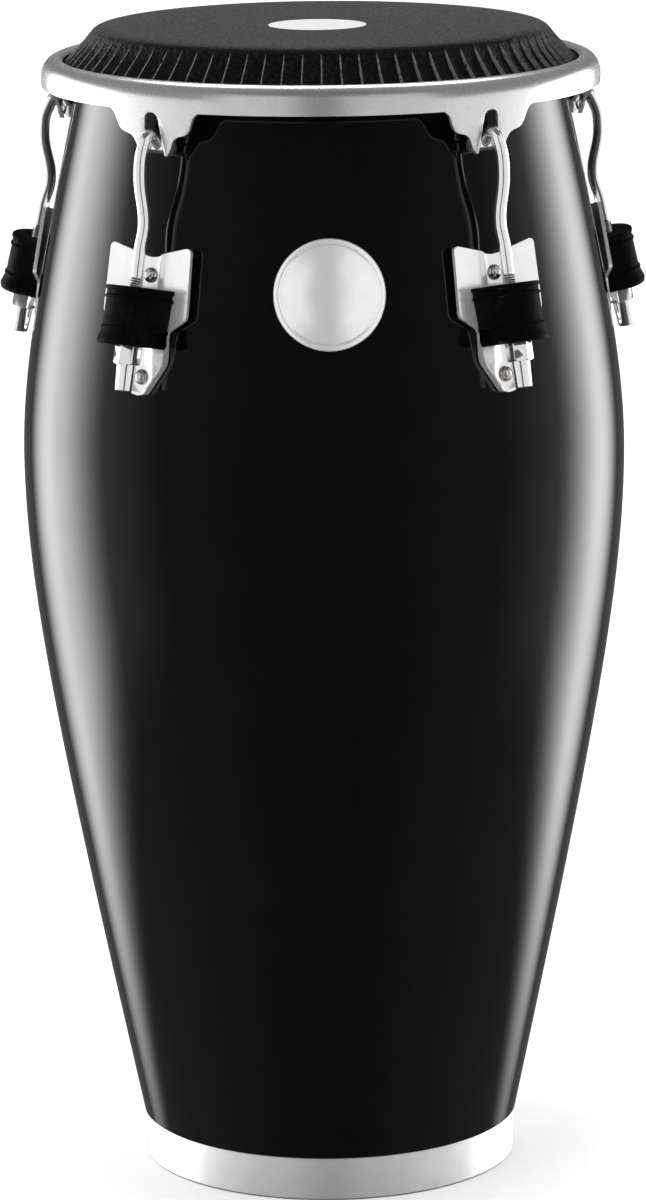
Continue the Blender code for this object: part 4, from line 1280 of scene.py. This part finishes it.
right_side = maths(room, "GREATER_THAN", way["X"], 0.0)
panel_side = maths(room, "SUBTRACT", side, product(room, right_side, RIGHT_LAG))
front_edge = soft_edge(room, panel_side, 90.0, 120.0)
glow = product(room, soft_edge(room, panel_side, 60.0, 98.0), GLOW_LIGHT)
back_edge = soft_edge(room, side, 152.0, 128.0)
foot_edge = soft_edge(room, way["Z"], -0.475, -0.36)
head_edge = soft_edge(room, way["Z"], 0.34, 0.12)
grading = ranged(room, way["Z"], -0.5, -0.2, 0.58, 0.80)
panels = total_of(room, product(room, front_edge, PANEL_LIGHT), glow)
panels = product(room, panels, back_edge, foot_edge, head_edge, grading)
mirrored_room = total_of(room, panels, ranged(room, side, 20.0, 70.0, 0.05, 0.13))
soft_room = total_of(room, product(room, soft_edge(room, side, 40.0, 120.0), 0.9), 0.8)
glossy = add_node(
    room, "ShaderNodeMix", {0: ray["Is Glossy Ray"], 2: soft_room, 3: mirrored_room}
).outputs[0]
seen = add_node(room, "ShaderNodeMix", {0: ray["Is Camera Ray"], 2: glossy, 3: 1.0}).outputs[0]
back = add_node(room, "ShaderNodeBackground", {"Color": (1, 1, 1, 1), "Strength": seen})
add_node(room, "ShaderNodeOutputWorld", {"Surface": back.outputs[0]})
print(world.name, len(room.nodes), "nodes")

# %% [markdown]
# One key light at the upper left gives the matt surfaces a side. The lacquer doesn't mirror
# it, so it adds no streak of its own.


# %% One soft key light
def area_lamp(name, place, aim, width, height, energy):
    lamp = bpy.data.lights.new(name, "AREA")
    lamp.shape = "RECTANGLE"
    lamp.size, lamp.size_y = width, height
    lamp.energy = energy
    box = bpy.data.objects.new(name, lamp)
    bpy.context.scene.collection.objects.link(box)
    box.location = place
    box.rotation_euler = (Vector(aim) - Vector(place)).to_track_quat("-Z", "Y").to_euler()
    return box


key = area_lamp("soft_key", (-1.6, -1.8, 2.2), (0, 0, 0.5), 1.6, 2.2, 18.0)
key.visible_glossy = False
bpy.context.scene.view_settings.view_transform = "Standard"
print(key.name, "at", [round(v, 2) for v in key.location])

# %% [markdown]
# Chrome shows only what stands round it, so it gets soft boxes of its own: a near pair with a
# narrow gap, which leaves the dark line down the middle of each rod, a wide outer pair, and
# one overhead. The rim and the base ring have their own set of the same kind, as they are
# broader and would glare. The head has a box behind it, which brings out its grain, and the
# floor one above it, which keeps it pale. Light linking keeps them all off the lacquer.

# %% Who sees which box
fittings = bpy.data.collections.new("fittings")
front_fittings = bpy.data.collections.new("front_fittings")
rings = bpy.data.collections.new("rings")
skin = bpy.data.collections.new("skin")
ground = bpy.data.collections.new("ground")
ground.objects.link(floor)
for obj in bpy.context.scene.objects:
    finishes = {slot.material for slot in obj.material_slots}
    if finishes & {chrome, satin, rod_chrome, plate_chrome, polished, brushed}:
        if obj.name in ("chrome_rim", "satin_base_ring"):
            rings.objects.link(obj)
        else:
            fittings.objects.link(obj)
            if not obj.name.endswith(("_2", "_3", "_4")):
                front_fittings.objects.link(obj)
    if head_finish in finishes:
        skin.objects.link(obj)


# %% Hang the soft boxes
BOX_DISTANCE, BOX_FOOT = 2.3, -1.3
OVERHEAD, RIM_MIDDLE = (0.0, 1.3, 2.7), (0, 0, 0.74)


def soft_box(name, place, aim, width, height, brightness, seen_by):
    box = area_lamp(name, place, aim, width, height, brightness * math.pi * width * height)
    box.visible_camera = False
    box.light_linking.receiver_collection = seen_by


for side_name, way_round in (("left", -1), ("right", 1)):
    for name, azimuth, width, height, brightness, seen_by in (
        ("near_box", 28, 1.60, 4.6, 0.70, front_fittings),
        ("outer_box", 80, 2.90, 4.6, 0.68, fittings),
        ("near_ring_box", 28, 1.64, 4.2, 0.41, rings),
        ("outer_ring_box", 80, 2.90, 2.5, 0.55, rings),
    ):
        middle = BOX_FOOT + height / 2
        angle = math.radians(azimuth * way_round)
        place = (BOX_DISTANCE * math.sin(angle), -BOX_DISTANCE * math.cos(angle), middle)
        soft_box(f"{name}_{side_name}", place, (0, 0, middle), width, height, brightness, seen_by)
soft_box("top_box", OVERHEAD, RIM_MIDDLE, 3.2, 0.8, 1.6, fittings)
soft_box("rim_top_box", OVERHEAD, RIM_MIDDLE, 1.8, 0.8, 4.5, rings)
soft_box("rear_box", (0.0, 2.4, 1.25), (0, 0, 0.76), 3.2, 0.8, 0.9, skin)
soft_box("floor_box", (0.0, -1.2, 2.6), (0, -0.6, 0), 5.0, 4.0, 0.40, ground)
print(len(bpy.data.lights), "lights in all")

# %% [markdown]
# ## The last step
#
# The view layer is brought up to date.

# %% Finish
bpy.context.view_layer.update()
